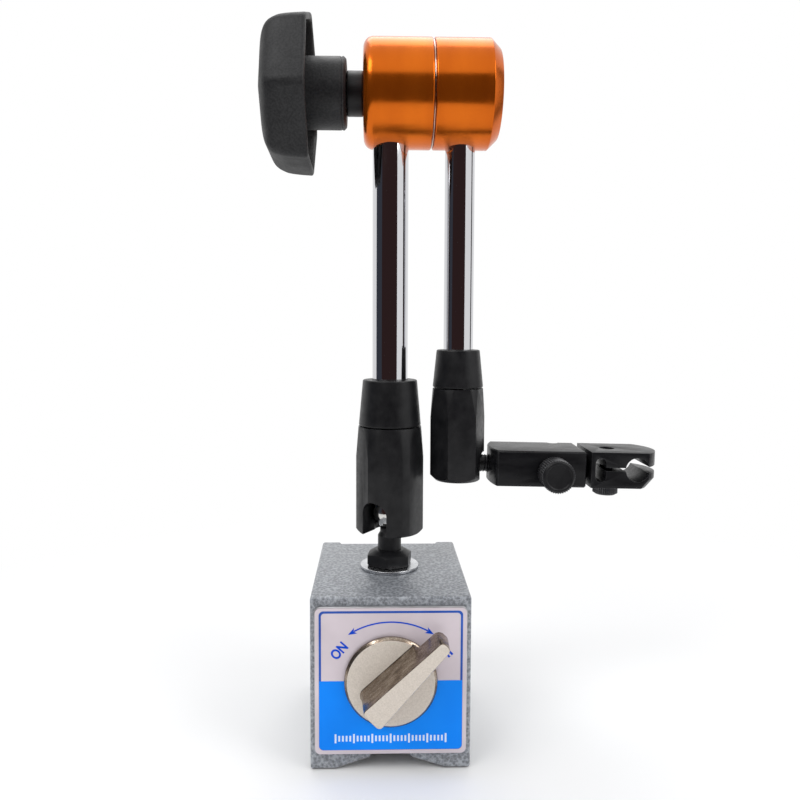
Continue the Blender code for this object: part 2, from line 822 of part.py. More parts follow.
def cut_slot(item, parent, width, corner, drop, facing):
    # Cut on one side only, with a round top, so that the ball's neck can swing out
    reach = corner + overrun
    place = (reach / 2 * math.cos(facing), reach / 2 * math.sin(facing), 0)
    low = -drop - overrun
    outline = arc(0, gap, width / 2, 0, 180, tiny_steps) + [(-width / 2, low), (width / 2, low)]
    slot = plate(item.name + "_slot", outline, reach)
    combine(item, hold(slot, parent, place, (quarter, 0, facing + quarter)))


def cap(name, parent, radius, top_radius, bottom, height, bore):
    top = bottom + height
    profile = [
        (top_radius - cap_edge, top), (top_radius, top - cap_edge), (radius, bottom + cap_edge),
        (radius - cap_edge, bottom), (bore, bottom), (bore, top)]
    hold(turned(name, profile, "black_steel", round_steps, True), parent)


def tube(name, parent, radius, bore, bottom, top):
    profile = [(radius, top), (radius, bottom), (bore, bottom), (bore, top)]
    hold(turned(name, profile, "chrome", round_steps, True), parent)


def thrust_cup(name, parent, radius, bottom, top):
    cup = turned(name, [(0, top), (radius, top), (radius, bottom), (0, bottom)], "brass", small_steps)
    hold(cup, parent)
    combine(cup, hold(ball(name + "_hollow", radius + gap), parent))


def push_rod(name, parent, radius, bottom, elbow_above):
    top = elbow_above - wedge_radius - wedge_slope_share * radius - gap
    hold(rod(name, radius, top - bottom, "bright_steel"), parent, (0, 0, (bottom + top) / 2))


def main_arm():
    facing = math.radians(main_slot_turn_deg) - quarter
    bore = main_rod_radius + gap
    profile = socket_bore(
        bore, main_rod_start, main_ball_radius + main_ball_play, main_ball_radius - main_lip_hold,
        main_lip_height, main_socket_rise, main_socket_drop)
    item = socket(
        "main_socket", main_joint, main_socket_corner, main_socket_corner - main_socket_taper,
        main_socket_corner - main_flat_depth, main_socket_drop, main_socket_rise,
        main_socket_taper_start, main_socket_edge, facing, profile)
    slot_width = 2 * (neck_radius + main_slot_play)
    cut_slot(item, main_joint, slot_width, main_socket_corner, main_socket_drop, facing)
    cap(
        "main_socket_cap", main_joint, main_cap_radius, main_cap_top_radius, main_socket_rise + gap,
        main_cap_height, bore)
    tube(
        "main_rod", main_joint, main_rod_radius, main_push_rod_radius + push_rod_play, main_rod_start,
        rod_top - main_ball_height)
    thrust_cup("main_thrust_cup", main_joint, main_ball_radius, main_cup_rise, main_cup_top)
    push_rod(
        "main_push_rod", main_joint, main_push_rod_radius, main_cup_top + flat_gap,
        elbow_height - main_ball_height)


def second_arm():
    facing = math.radians(second_hex_turn_deg)
    bore = second_rod_radius + gap
    profile = socket_bore(
        bore, second_rod_start, second_ball_radius + gap, second_ball_radius - second_lip_hold,
        second_lip_height, second_socket_rise, second_socket_drop)
    item = socket(
        "second_socket", second_joint, second_socket_corner, second_socket_corner - second_socket_taper,
        second_socket_corner - second_flat_depth, second_socket_drop, second_socket_rise,
        second_socket_taper_start, second_socket_edge, facing, profile)
    slot_width = 2 * (stud_radius + second_slot_play)
    cut_slot(item, second_joint, slot_width, second_socket_corner, second_socket_drop, 0)
    cap(
        "second_socket_cap", second_joint, second_cap_radius, second_cap_top_radius,
        second_socket_rise + gap, second_cap_height, bore)
    tube(
        "second_rod", second_joint, second_rod_radius, second_push_rod_radius + push_rod_play,
        second_rod_start, rod_top - second_ball_height)
    thrust_cup("second_thrust_cup", second_joint, second_ball_radius, second_cup_rise, second_cup_top)
    push_rod(
        "second_push_rod", second_joint, second_push_rod_radius, second_cup_top + flat_gap,
        elbow_height - second_ball_height)


# Elbow: two shells on a drawbar whose wedges drive the push rods. Heights run along +X.

def rod_hole(item, radius, across):
    start = elbow_cavity_radius / 2
    length = elbow_radius + overrun - start
    hole = rod(item.name + "_rod_hole", radius + gap, length)
    combine(item, hold(hole, elbow_axis, (start + length / 2, 0, across), along_x))


def elbow_shells():
    bore = drawbar_radius + gap
    fillet_centre = elbow_radius - elbow_fillet
    wall_end = elbow_left_end + elbow_end_wall
    left = turned(
        "elbow_left",
        [(elbow_radius - elbow_edge, elbow_left_face), (elbow_radius, elbow_left_face - elbow_edge)]
        + arc(fillet_centre, elbow_left_end + elbow_fillet, elbow_fillet, 0, -quarter_deg, 4)
        + [(bore, elbow_left_end), (bore, wall_end), (elbow_cavity_radius, wall_end),
           (elbow_cavity_radius, elbow_left_face)],
        "orange", round_steps, True)
    hold(left, elbow_axis)
    rod_hole(left, main_rod_radius, 0)
    inner_face = recess_face - elbow_inner_wall
    right = turned(
        "elbow_right",
        [(nut_recess_radius, elbow_right_end), (elbow_radius - elbow_chamfer, elbow_right_end),
         (elbow_radius, elbow_right_end - elbow_chamfer), (elbow_radius, elbow_right_face + elbow_edge),
         (elbow_radius - elbow_edge, elbow_right_face),
           (elbow_cavity_radius, elbow_right_face), (elbow_cavity_radius, inner_face),
           (bore, inner_face), (bore, recess_face), (nut_recess_radius, recess_face)],
        "orange", round_steps, True)
    hold(right, elbow_axis)
    rod_hole(right, second_rod_radius, arm_spacing)
    low = elbow_split - elbow_washer_thickness / 2
    high = elbow_split + elbow_washer_thickness / 2
    outer = elbow_radius - elbow_washer_inset
    inner = elbow_cavity_radius + gap
    washer = turned(
        "elbow_washer", [(outer, high), (outer, low), (inner, low), (inner, high)],
        "bright_steel", round_steps, True)
    hold(washer, elbow_axis)


def wedge(name, rod_place):
    low = rod_place - wedge_lead
    high = low + wedge_length
    low_radius = wedge_radius - wedge_slope_share * wedge_lead
    high_radius = low_radius + wedge_slope_share * wedge_length
    bore = drawbar_radius + gap
    profile = [(high_radius, high), (low_radius, low), (bore, low), (bore, high)]
    hold(turned(name, profile, "black_steel", small_steps, True), elbow_axis)


def drawbar():
    bar = rod("drawbar", drawbar_radius, drawbar_reach + drawbar_tail, "black_steel")
    hold(bar, elbow_axis, (0, 0, (drawbar_reach - drawbar_tail) / 2))
    wedge("left_wedge", 0)
    wedge("right_wedge", arm_spacing)
    bore = drawbar_radius + gap
    low = recess_face + flat_gap
    high = low + nut_washer_thickness
    washer = turned(
        "nut_washer",
        [(nut_washer_radius, high), (nut_washer_radius, low), (bore, low), (bore, high)],
        "zinc", small_steps, True)
    hold(washer, elbow_axis)
    nut = hexagon("drawbar_nut", nut_across_flats, nut_height, "zinc")
    hold(nut, elbow_axis, (0, 0, high + flat_gap + nut_height / 2))
    combine(nut, hold(rod("drawbar_nut_bore", bore, elbow_radius), elbow_axis, (0, 0, elbow_right_end)))


# Star knob, hollow behind, on a brass insert

def knob_outline(reach):
    outline = []
    half_turn = 180 / knob_lobes
    centre = reach - knob_corner_round
    for lobe in range(knob_lobes):
        facing = 2 * half_turn * lobe
        across = centre * math.cos(math.radians(facing))
        up = centre * math.sin(math.radians(facing))
        outline += arc(across, up, knob_corner_round, facing - half_turn, facing + half_turn, 3)
    return outline


def knob_rings(inset, rim_reach):
    rings = []
    outline = knob_outline(knob_corner_reach - inset)
    depth = knob_face_reach - knob_rim_reach
    for reach_share, depth_share in knob_dome_shares:
        ring = [(reach_share * across, reach_share * up) for across, up in outline]
        height = -knob_rim_reach - depth * depth_share + inset
        if depth_share == 0:
            height = -rim_reach
        rings.append((ring, height))
    return rings


def star_knob():
    turn = (0, 0, math.radians(knob_turn_deg))
    knob = loft("knob", knob_rings(0, knob_rim_reach), "black_plastic")
    hold(knob, elbow_axis, (0, 0, 0), turn)
    hollow = loft("knob_hollow", knob_rings(knob_wall, knob_rim_reach - overrun))
    combine(knob, hold(hollow, elbow_axis, (0, 0, 0), turn))
    hub_end = -knob_face_reach + knob_wall * 2 / 3
    hub = turned(
        "knob_hub",
        [(0, knob_start), (knob_hub_radius - knob_hub_edge, knob_start),
         (knob_hub_radius, knob_start - knob_hub_edge), (knob_hub_radius, hub_end), (0, hub_end)])
    combine(knob, hold(hub, elbow_axis), "UNION")
    bore_end = knob_start - flat_gap - knob_insert_length - gap
    bore = rod("knob_bore", knob_insert_radius + gap, knob_start - bore_end + overrun)
    combine(knob, hold(bore, elbow_axis, (0, 0, (knob_start + overrun + bore_end) / 2)))
    inner = drawbar_radius + gap
    insert_top = knob_start - flat_gap
    insert_bottom = insert_top - knob_insert_length
    insert = turned(
        "knob_insert",
        [(knob_insert_radius, insert_top), (knob_insert_radius, insert_bottom), (inner, insert_bottom),
         (inner, insert_top)],
        "brass", small_steps, True)
    hold(insert, elbow_axis)
    collar_end = collar_start - knob_collar_length
    collar = turned(
        "knob_collar",
        [(knob_collar_radius, collar_start), (knob_collar_radius, collar_end), (inner, collar_end),
         (inner, collar_start)],
        "black_steel", small_steps, True)
    hold(collar, elbow_axis)


# Clamp head: ball and stud, slotted block, and the jaw that the adjusting screw swings

def head_stud():
    second_ball = ball("second_ball", second_ball_radius, "bright_steel")
    hold(second_ball, head)
    hole_start = second_ball_radius - stud_pin_depth - gap
    hole_length = stud_pin_depth + gap + overrun
    pin_hole = rod("second_ball_hole", stud_pin_radius + gap, hole_length)
    combine(second_ball, hold(pin_hole, head, (hole_start + hole_length / 2, 0, 0), along_x))
    pin_start = second_ball_radius - stud_pin_depth
    stud = turned(
        "clamp_stud",
        [(0, stud_end), (stud_radius, stud_end), (stud_radius, stud_start), (stud_pin_radius, stud_start),
         (stud_pin_radius, pin_start), (0, pin_start)],
        "black_steel", small_steps)
    hold(stud, head, (0, 0, 0), along_x)


def block_outline():
    bulge = math.degrees(math.asin(head_side / block_end_radius))
    rounded = arc(block_start + block_end_radius, 0, block_end_radius, 180 + bulge, 180 - bulge, 8)
    return rounded + [(block_end, head_side), (block_end, -head_side)]


def adjust_block():
    block = plate("adjust_block", block_outline(), head_height, "black_steel")
    hold(block, head)
    chamfer_edges(block, head_edge)
    pocket_length = block_end + overrun - pocket_start
    pocket = box("tongue_pocket", (pocket_length, pocket_width, pocket_height))
    combine(block, hold(pocket, head, (pocket_start + pocket_length / 2, 0, 0)))
    stud_hole_length = stud_grip + gap + overrun
    stud_hole = rod("clamp_stud_hole", stud_radius + gap, stud_hole_length)
    combine(block, hold(stud_hole, head, (stud_end + gap - stud_hole_length / 2, 0, 0), along_x))
    screw_hole = rod("adjust_hole", adjust_shank_radius + gap, head_side)
    combine(block, hold(screw_hole, adjust_axis, (0, 0, (pocket_width / 2 + head_side) / 2 + gap)))
    notch = rod("top_notch", notch_radius, pocket_height)
    combine(block, hold(notch, head, (notch_place, head_side, head_half)))
    spring_hole = rod("spring_hole", spring_radius + 2 * spring_wire_radius, spring_hole_depth + gap)
    spring_middle = pocket_width / 2 + (spring_hole_depth - gap) / 2
    combine(block, hold(spring_hole, head, (screw_place, spring_middle, 0), along_y))
    pin_low = gap - head_half
    pin = rod("pivot_pin", pivot_radius, pivot_length, "zinc", tiny_steps)
    hold(pin, jaw_pivot, (0, 0, pin_low + pivot_length / 2))
    hole_length = pivot_length + gap + overrun
    pin_hole = rod("pivot_hole", pivot_radius + gap, hole_length, None, tiny_steps)
    combine(block, hold(pin_hole, jaw_pivot, (0, 0, pin_low + pivot_length + gap - hole_length / 2)))
    return pin_hole


def return_spring():
    points_per_turn = 8
    count = spring_turns * points_per_turn
    curve = bpy.data.curves.new("return_spring", "CURVE")
    curve.dimensions = "3D"
    curve.bevel_depth = spring_wire_radius
    curve.bevel_resolution = 1
    curve.use_fill_caps = True
    spline = curve.splines.new("POLY")
    spline.points.add(count)
    for index, point in enumerate(spline.points):
        angle = math.tau * index / points_per_turn
        along = spring_wire_radius + (spring_length - 2 * spring_wire_radius) * index / count
        point.co = (spring_radius * math.cos(angle), spring_radius * math.sin(angle), along, 1)
    spring = add_body("return_spring", curve_mesh("return_spring", curve), "zinc")
    hold(spring, head, (screw_place, tongue_face, 0), along_y)


def adjust_screw():
    neck = head_side + gap
    face = neck + adjust_head_length
    profile = [
        (0, face), (adjust_head_radius - adjust_head_edge, face),
        (adjust_head_radius, face - adjust_head_edge), (adjust_head_radius, neck + adjust_head_edge),
        (adjust_head_radius - adjust_head_edge, neck), (adjust_shank_radius, neck),
        (adjust_shank_radius, tongue_face), (0, tongue_face)]
    hold(turned("adjust_screw", profile, "black_steel"), adjust_axis)


def jaw_plan(setback):
    # Seen from above: straight sides and a round end
    spread = math.degrees(math.asin(head_side / jaw_end_radius))
    outline = arc(jaw_end - setback - jaw_end_radius, 0, jaw_end_radius, -spread, spread, 8)
    return outline + [(jaw_start - overrun, head_side), (jaw_start - overrun, -head_side)]


def jaw_cut(item, cutter, along, level=0, turn=(0, 0, 0)):
    combine(item, hold(cutter, jaw_pivot, (along - pivot_place, 0, level), turn))


def jaw(pin_hole):
    length = jaw_length + overrun
    item = box("jaw", (length, head_width + overrun, head_height), "black_steel")
    hold(item, jaw_pivot, (jaw_start + length / 2 - pivot_place, 0, 0))
    # The round end is chamfered below, all the way round
    low_setback = jaw_chamfer_run * (1 + gap / jaw_chamfer_rise)
    rings = [
        (jaw_plan(low_setback), -head_half - gap), (jaw_plan(0), jaw_chamfer_rise - head_half),
        (jaw_plan(0), head_half + overrun)]
    combine(item, hold(loft("jaw_round_end", rings), jaw_pivot, (-pivot_place, 0, 0)), "INTERSECT")
    tongue_length = jaw_start + head_edge - tongue_start
    tongue = box("jaw_tongue", (tongue_length, tongue_width, tongue_height))
    place = (tongue_start + tongue_length / 2 - pivot_place, 0, 0)
    combine(item, hold(tongue, jaw_pivot, place), "UNION")
    combine(item, pin_hole)
    through = head_width + overrun
    stem_bore = rod("stem_bore", stem_bore_radius, through, None, round_steps)
    jaw_cut(item, stem_bore, stem_bore_place, stem_bore_rise, along_y)
    mouth_length = jaw_end - stem_bore_place + overrun
    mouth = box("jaw_mouth", (mouth_length, through, mouth_width))
    jaw_cut(item, mouth, stem_bore_place + mouth_length / 2, stem_bore_rise)
    slit_length = stem_bore_place - relief_slot_place
    slit = box("jaw_slit", (slit_length, through, slit_width))
    jaw_cut(item, slit, relief_slot_place + slit_length / 2, stem_bore_rise)
    relief_outline = rounded_rectangle(
        relief_slot_width, relief_slot_height, relief_slot_width / 2 - flat_gap)
    jaw_cut(item, plate("jaw_relief", relief_outline, through), relief_slot_place, 0, towards_viewer)
    screw_hole = rod("clamp_screw_hole", clamp_shank_radius + gap, head_height + overrun)
    jaw_cut(item, screw_hole, clamp_screw_place)


def clamp_screw():
    neck = -head_half - gap
    bottom = neck - clamp_head_length
    tip = neck + clamp_shank_length
    profile = [
        (0, tip), (clamp_shank_radius, tip), (clamp_shank_radius, neck),
        (clamp_head_radius - cap_edge, neck), (clamp_head_radius, neck - cap_edge),
        (clamp_head_radius, bottom + cap_edge), (clamp_head_radius - cap_edge, bottom), (0, bottom)]
    hold(turned("clamp_screw", profile, "black_steel"), clamp_axis)


left_pole, right_pole = magnetic_block()
front_plates(left_pole, right_pole)
rear_plate(left_pole, right_pole)
bushes()
rotor()
switch_shaft()
switch_dial()
ball_stud()
main_arm()
second_arm()
elbow_shells()
drawbar()
star_knob()
head_stud()
tongue_pin_hole = adjust_block()
return_spring()
adjust_screw()
jaw(tongue_pin_hole)
clamp_screw()
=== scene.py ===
import json
import math

import bmesh
import bpy
from mathutils import Matrix, Vector


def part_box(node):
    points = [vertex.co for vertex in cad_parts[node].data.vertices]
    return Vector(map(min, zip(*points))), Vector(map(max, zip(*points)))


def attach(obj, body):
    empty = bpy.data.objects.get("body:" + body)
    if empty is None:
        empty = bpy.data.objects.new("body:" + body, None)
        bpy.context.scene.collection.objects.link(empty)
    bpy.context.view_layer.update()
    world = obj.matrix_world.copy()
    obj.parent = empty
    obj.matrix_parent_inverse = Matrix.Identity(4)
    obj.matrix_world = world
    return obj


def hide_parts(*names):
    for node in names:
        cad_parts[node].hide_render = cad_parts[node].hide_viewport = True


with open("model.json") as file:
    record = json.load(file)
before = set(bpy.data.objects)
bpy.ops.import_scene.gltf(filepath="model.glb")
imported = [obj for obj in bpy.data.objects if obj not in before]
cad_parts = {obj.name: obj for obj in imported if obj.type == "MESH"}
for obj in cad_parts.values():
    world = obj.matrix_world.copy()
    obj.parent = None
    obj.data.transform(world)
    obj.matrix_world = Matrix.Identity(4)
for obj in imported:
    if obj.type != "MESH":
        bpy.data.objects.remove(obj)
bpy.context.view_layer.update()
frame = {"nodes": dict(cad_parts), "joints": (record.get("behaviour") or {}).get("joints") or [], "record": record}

# Looks of a magnetic indicator holder: painted block, printed plate, nickel switch, chromed double arm,
# orange elbow, black star knob and a black clamp head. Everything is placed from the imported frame.

joints = {joint["name"]: joint for joint in frame["joints"]}
slotOf = {part["node"]: part["material_slot"] for part in frame["record"]["subparts"]}


def jointPlace(name):
    return Vector(joints[name]["pos_m"])


def middleOf(node):
    low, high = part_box(node)
    return (low + high) / 2


# Axes that the pieces hang on
mainBall = jointPlace("main_tilt")
secondBall = jointPlace("second_tilt")
elbowPlace = Vector((mainBall.x, mainBall.y, jointPlace("elbow_turn").z))
droop = -math.asin(joints["head_spin"]["axis"][2])
quarter = math.radians(90)
facingViewer = Matrix.Rotation(quarter, 4, "X")
switchFrame = Matrix.Translation(jointPlace("switch_turn")) @ facingViewer
elbowFrame = Matrix.Translation(elbowPlace) @ Matrix.Rotation(quarter, 4, "Y")
headFrame = Matrix.Translation(secondBall) @ Matrix.Rotation(droop, 4, "Y")
mainFrame = Matrix.Translation(mainBall)
secondFrame = Matrix.Translation(secondBall)
tiny = 1e-7


# Meshes

def linear(*levels):
    # A colour given as it looks on a screen, 0 to 255
    return tuple((level / 255) ** 2.2 for level in levels)


def makeObject(name, work, place, finishes, sharp=35):
    bmesh.ops.recalc_face_normals(work, faces=work.faces)
    mesh = bpy.data.meshes.new(name)
    work.to_mesh(mesh)
    work.free()
    mesh.transform(place)
    piece = bpy.data.objects.new(name, mesh)
    bpy.context.scene.collection.objects.link(piece)
    for finish in finishes:
        mesh.materials.append(finish)
    shadeSoft(piece, sharp)
    return piece


def shadeSoft(piece, sharp=35):
    piece.data.shade_smooth()
    piece.data.set_sharp_from_angle(angle=math.radians(sharp))


def bakeShape(piece):
    # The modifiers' result becomes the plain mesh
    bpy.context.view_layer.update()
    result = bpy.data.meshes.new_from_object(piece.evaluated_get(bpy.context.evaluated_depsgraph_get()))
    piece.modifiers.clear()
    piece.data = result
    return piece


def softCorners(profile, radius, steps=4):
    # Rounds every inner corner of an open profile
    points = [Vector(point) for point in profile]
    rounded = [points[0]]
    for before, corner, after in zip(points, points[1:], points[2:]):
        back, ahead = before - corner, after - corner
        turn = math.pi - back.angle(ahead)
        if turn < math.radians(8):
            rounded.append(corner)
            continue
        reach = min(radius * math.tan(turn / 2), back.length * 0.45, ahead.length * 0.45)
        first, last = corner + back.normalized() * reach, corner + ahead.normalized() * reach
        for step in range(steps + 1):
            share = step / steps
            rounded.append(
                first * (1 - share) ** 2 + corner * 2 * share * (1 - share) + last * share ** 2)
    rounded.append(points[-1])
    return [tuple(point) for point in rounded]


def lathe(name, profile, place, finishes, steps=96, ringed=False):
    # (radius, height) pairs from the top middle to the bottom middle, or round a bore
    work = bmesh.new()
    rings = []
    for radius, height in profile:
        if radius < tiny:
            rings.append([work.verts.new((0, 0, height))])
            continue
        rings.append([
            work.verts.new((radius * math.cos(math.tau * step / steps),
                            radius * math.sin(math.tau * step / steps), height))
            for step in range(steps)])
    pairs = list(zip(rings, rings[1:]))
    if ringed:
        pairs.append((rings[-1], rings[0]))
    for upper, lower in pairs:
        for step in range(steps):
            after = (step + 1) % steps
            corners = []
            for ring, index in ((upper, step), (upper, after), (lower, after), (lower, step)):
                corner = ring[index % len(ring)]
                if corner not in corners:
                    corners.append(corner)
            if len(corners) > 2:
                work.faces.new(corners)
    return makeObject(name, work, place, finishes)


def bored(profile, bore):
    # Closes an outer profile round a straight hole
    return [(bore, profile[0][1])] + profile + [(bore, profile[-1][1])]


def skin(name, loops, place, finishes, sharp=35):
    # Joins outlines of equal count, each a list of (x, y, z), and closes both ends
    work = bmesh.new()
    rings = [[work.verts.new(point) for point in loop] for loop in loops]
    for lower, upper in zip(rings, rings[1:]):
        for index in range(len(lower)):
            after = (index + 1) % len(lower)
            work.faces.new((lower[index], lower[after], upper[after], upper[index]))
    work.faces.new(rings[0])
    work.faces.new(rings[-1])
    return makeObject(name, work, place, finishes, sharp)


def prism(name, outline, low, high, place, finishes):
    loops = [[(across, up, height) for across, up in outline] for height in (low, high)]
    return skin(name, loops, place, finishes)


def carve(piece, cutter, how="DIFFERENCE"):
    step = piece.modifiers.new("cut", "BOOLEAN")
    step.operation = how
    step.solver = "EXACT"
    step.object = cutter
    bakeShape(piece)
    bpy.data.objects.remove(cutter)
    if not piece.data.polygons:
        raise RuntimeError("nothing is left of " + piece.name)
    shadeSoft(piece)
    return piece


def softenEdges(piece, width, steps=2, angle=32, worn=False):
    edges = piece.modifiers.new("edges", "BEVEL")
    edges.width = width
    edges.segments = steps
    edges.limit_method = "ANGLE"
    edges.angle_limit = math.radians(angle)
    edges.material = 1 if worn else -1
    bakeShape(piece)
    shadeSoft(piece)
    return piece


def arc(centre, radius, start, end, steps):
    points = []
    for step in range(steps + 1):
        angle = math.radians(start + (end - start) * step / steps)
        points.append((centre[0] + radius * math.cos(angle), centre[1] + radius * math.sin(angle)))
    return points


def roundedBox(halfWide, halfHigh, corner, steps=8):
    wide, high = halfWide - corner, halfHigh - corner
    return (
        arc((wide, high), corner, 0, 90, steps) + arc((-wide, high), corner, 90, 180, steps)
        + arc((-wide, -high), corner, 180, 270, steps) + arc((wide, -high), corner, 270, 360, steps))


def softenedCopy(name, node, width, finishes, steps=2):
    # A frame node's own shape with its loose triangles joined, flat faces merged and edges eased
    work = bmesh.new()
    work.from_mesh(frame["nodes"][node].data)
    bmesh.ops.remove_doubles(work, verts=work.verts, dist=0.000002)
    bmesh.ops.dissolve_limit(
        work, angle_limit=math.radians(0.5), verts=work.verts, edges=work.edges)
    piece = makeObject(name, work, Matrix.Identity(4), finishes)
    return softenEdges(piece, width, steps, worn=len(finishes) > 1)


def settle(piece, body, slot, *nodes):
    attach(piece, body)
    if nodes:
        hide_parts(*nodes)
    return piece


# Geometry Nodes

def growNodes(name, sizes, wire, finish, place):
    tree = bpy.data.node_groups.new(name, "GeometryNodeTree")
    tree.interface.new_socket(name="Geometry", in_out="OUTPUT", socket_type="NodeSocketGeometry")
    sockets = {}
    for label, value in sizes.items():
        kind = "NodeSocketFloat"
        if isinstance(value, int):
            kind = "NodeSocketInt"
        if isinstance(value, bpy.types.Object):
            kind = "NodeSocketObject"
        sockets[label] = tree.interface.new_socket(name=label, in_out="INPUT", socket_type=kind).identifier
    start = tree.nodes.new("NodeGroupInput")
    shape = wire(tree, start.outputs)
    realize = addNode(tree, "GeometryNodeRealizeInstances", {"Geometry": shape})
    paint = addNode(tree, "GeometryNodeSetMaterial", {"Geometry": realize.outputs[0], "Material": finish})
    addNode(tree, "NodeGroupOutput", {"Geometry": paint.outputs[0]})
    piece = bpy.data.objects.new(name, bpy.data.meshes.new(name))
    bpy.context.scene.collection.objects.link(piece)
    grower = piece.modifiers.new("grow", "NODES")
    grower.node_group = tree
    for label, value in sizes.items():
        grower[sockets[label]] = value
    bakeShape(piece)
    piece.data.transform(place)
    shadeSoft(piece)
    return piece


def addNode(tree, kind, inputs=None, **settings):
    node = tree.nodes.new(kind)
    for label, value in settings.items():
        setattr(node, label, value)
    for label, value in (inputs or {}).items():
        if isinstance(value, bpy.types.NodeSocket):
            tree.links.new(value, node.inputs[label])
        else:
            node.inputs[label].default_value = value
    return node


def wireRidges(tree, sizes):
    # Square bars that stand corner outwards round a circle
    circle = addNode(tree, "GeometryNodeMeshCircle", {"Vertices": sizes["Count"], "Radius": sizes["Circle"]})
    bar = addNode(
        tree, "GeometryNodeMeshCylinder",
        {"Vertices": 4, "Radius": sizes["Ridge"], "Depth": sizes["Length"]})
    here = addNode(tree, "GeometryNodeInputPosition")
    facing = addNode(tree, "FunctionNodeAlignRotationToVector", {"Vector": here.outputs[0]}, axis="X")
    spread = addNode(
        tree, "GeometryNodeInstanceOnPoints",
        {"Points": circle.outputs[0], "Instance": bar.outputs["Mesh"], "Rotation": facing.outputs[0]})
    return spread.outputs[0]


def wireTicks(tree, sizes):
    # Upright marks along a line, every fifth of them taller
    step = addNode(tree, "ShaderNodeCombineXYZ", {"X": sizes["Spacing"]})
    line = addNode(tree, "GeometryNodeMeshLine", {"Count": sizes["Count"], "Offset": step.outputs[0]})
    number = addNode(tree, "GeometryNodeInputIndex")
    rest = addNode(tree, "ShaderNodeMath", {0: number.outputs[0], 1: 5.0}, operation="MODULO")
    fifth = addNode(tree, "ShaderNodeMath", {0: rest.outputs[0], 1: 0.5}, operation="LESS_THAN")
    extra = addNode(tree, "ShaderNodeMath", {0: fifth.outputs[0], 1: 0.6, 2: 1.0}, operation="MULTIPLY_ADD")
    tall = addNode(tree, "ShaderNodeCombineXYZ", {"X": 1.0, "Y": extra.outputs[0], "Z": 1.0})
    size = addNode(
        tree, "ShaderNodeCombineXYZ",
        {"X": sizes["Width"], "Y": sizes["Height"], "Z": sizes["Thickness"]})
    mark = addNode(tree, "GeometryNodeMeshCube", {"Size": size.outputs[0]})
    spread = addNode(
        tree, "GeometryNodeInstanceOnPoints",
        {"Points": line.outputs[0], "Instance": mark.outputs["Mesh"], "Scale": tall.outputs[0]})
    return spread.outputs[0]


def wireThread(tree, sizes):
    # One ridge that climbs round the stud
    path = addNode(
        tree, "GeometryNodeCurveSpiral",
        {"Resolution": 40, "Rotations": sizes["Turns"], "Start Radius": sizes["Radius"],
         "End Radius": sizes["Radius"], "Height": sizes["Length"]})
    ridge = addNode(tree, "GeometryNodeCurvePrimitiveCircle", {"Resolution": 4, "Radius": sizes["Ridge"]})
    tube = addNode(
        tree, "GeometryNodeCurveToMesh",
        {"Curve": path.outputs[0], "Profile Curve": ridge.outputs[0], "Fill Caps": True})
    return tube.outputs[0]


def wireCorners(tree, sizes):
    # One fastener at each corner of a rectangle
    corners = addNode(
        tree, "GeometryNodeMeshGrid",
        {"Size X": sizes["Across"], "Size Y": sizes["Up"], "Vertices X": 2, "Vertices Y": 2})
    shape = addNode(tree, "GeometryNodeObjectInfo", {"Object": sizes["Fastener"]})
    spread = addNode(
        tree, "GeometryNodeInstanceOnPoints",
        {"Points": corners.outputs[0], "Instance": shape.outputs["Geometry"]})
    return spread.outputs[0]


# Finishes

def noiseNode(tree, coordinates, scale, detail=4.0, stretch=None):
    source = coordinates.outputs["Object"]
    if stretch:
        source = addNode(tree, "ShaderNodeMapping", {"Vector": source, "Scale": stretch}).outputs[0]
    return addNode(tree, "ShaderNodeTexNoise", {"Vector": source, "Scale": scale, "Detail": detail})


def blendColours(tree, factor, stops):
    ramp = addNode(tree, "ShaderNodeValToRGB", {"Fac": factor})
    ramp.color_ramp.elements[0].position, ramp.color_ramp.elements[0].color = stops[0][0], (*stops[0][1], 1)
    ramp.color_ramp.elements[1].position, ramp.color_ramp.elements[1].color = stops[-1][0], (*stops[-1][1], 1)
    for place, colour in stops[1:-1]:
        ramp.color_ramp.elements.new(place).color = (*colour, 1)
    return ramp.outputs["Color"]


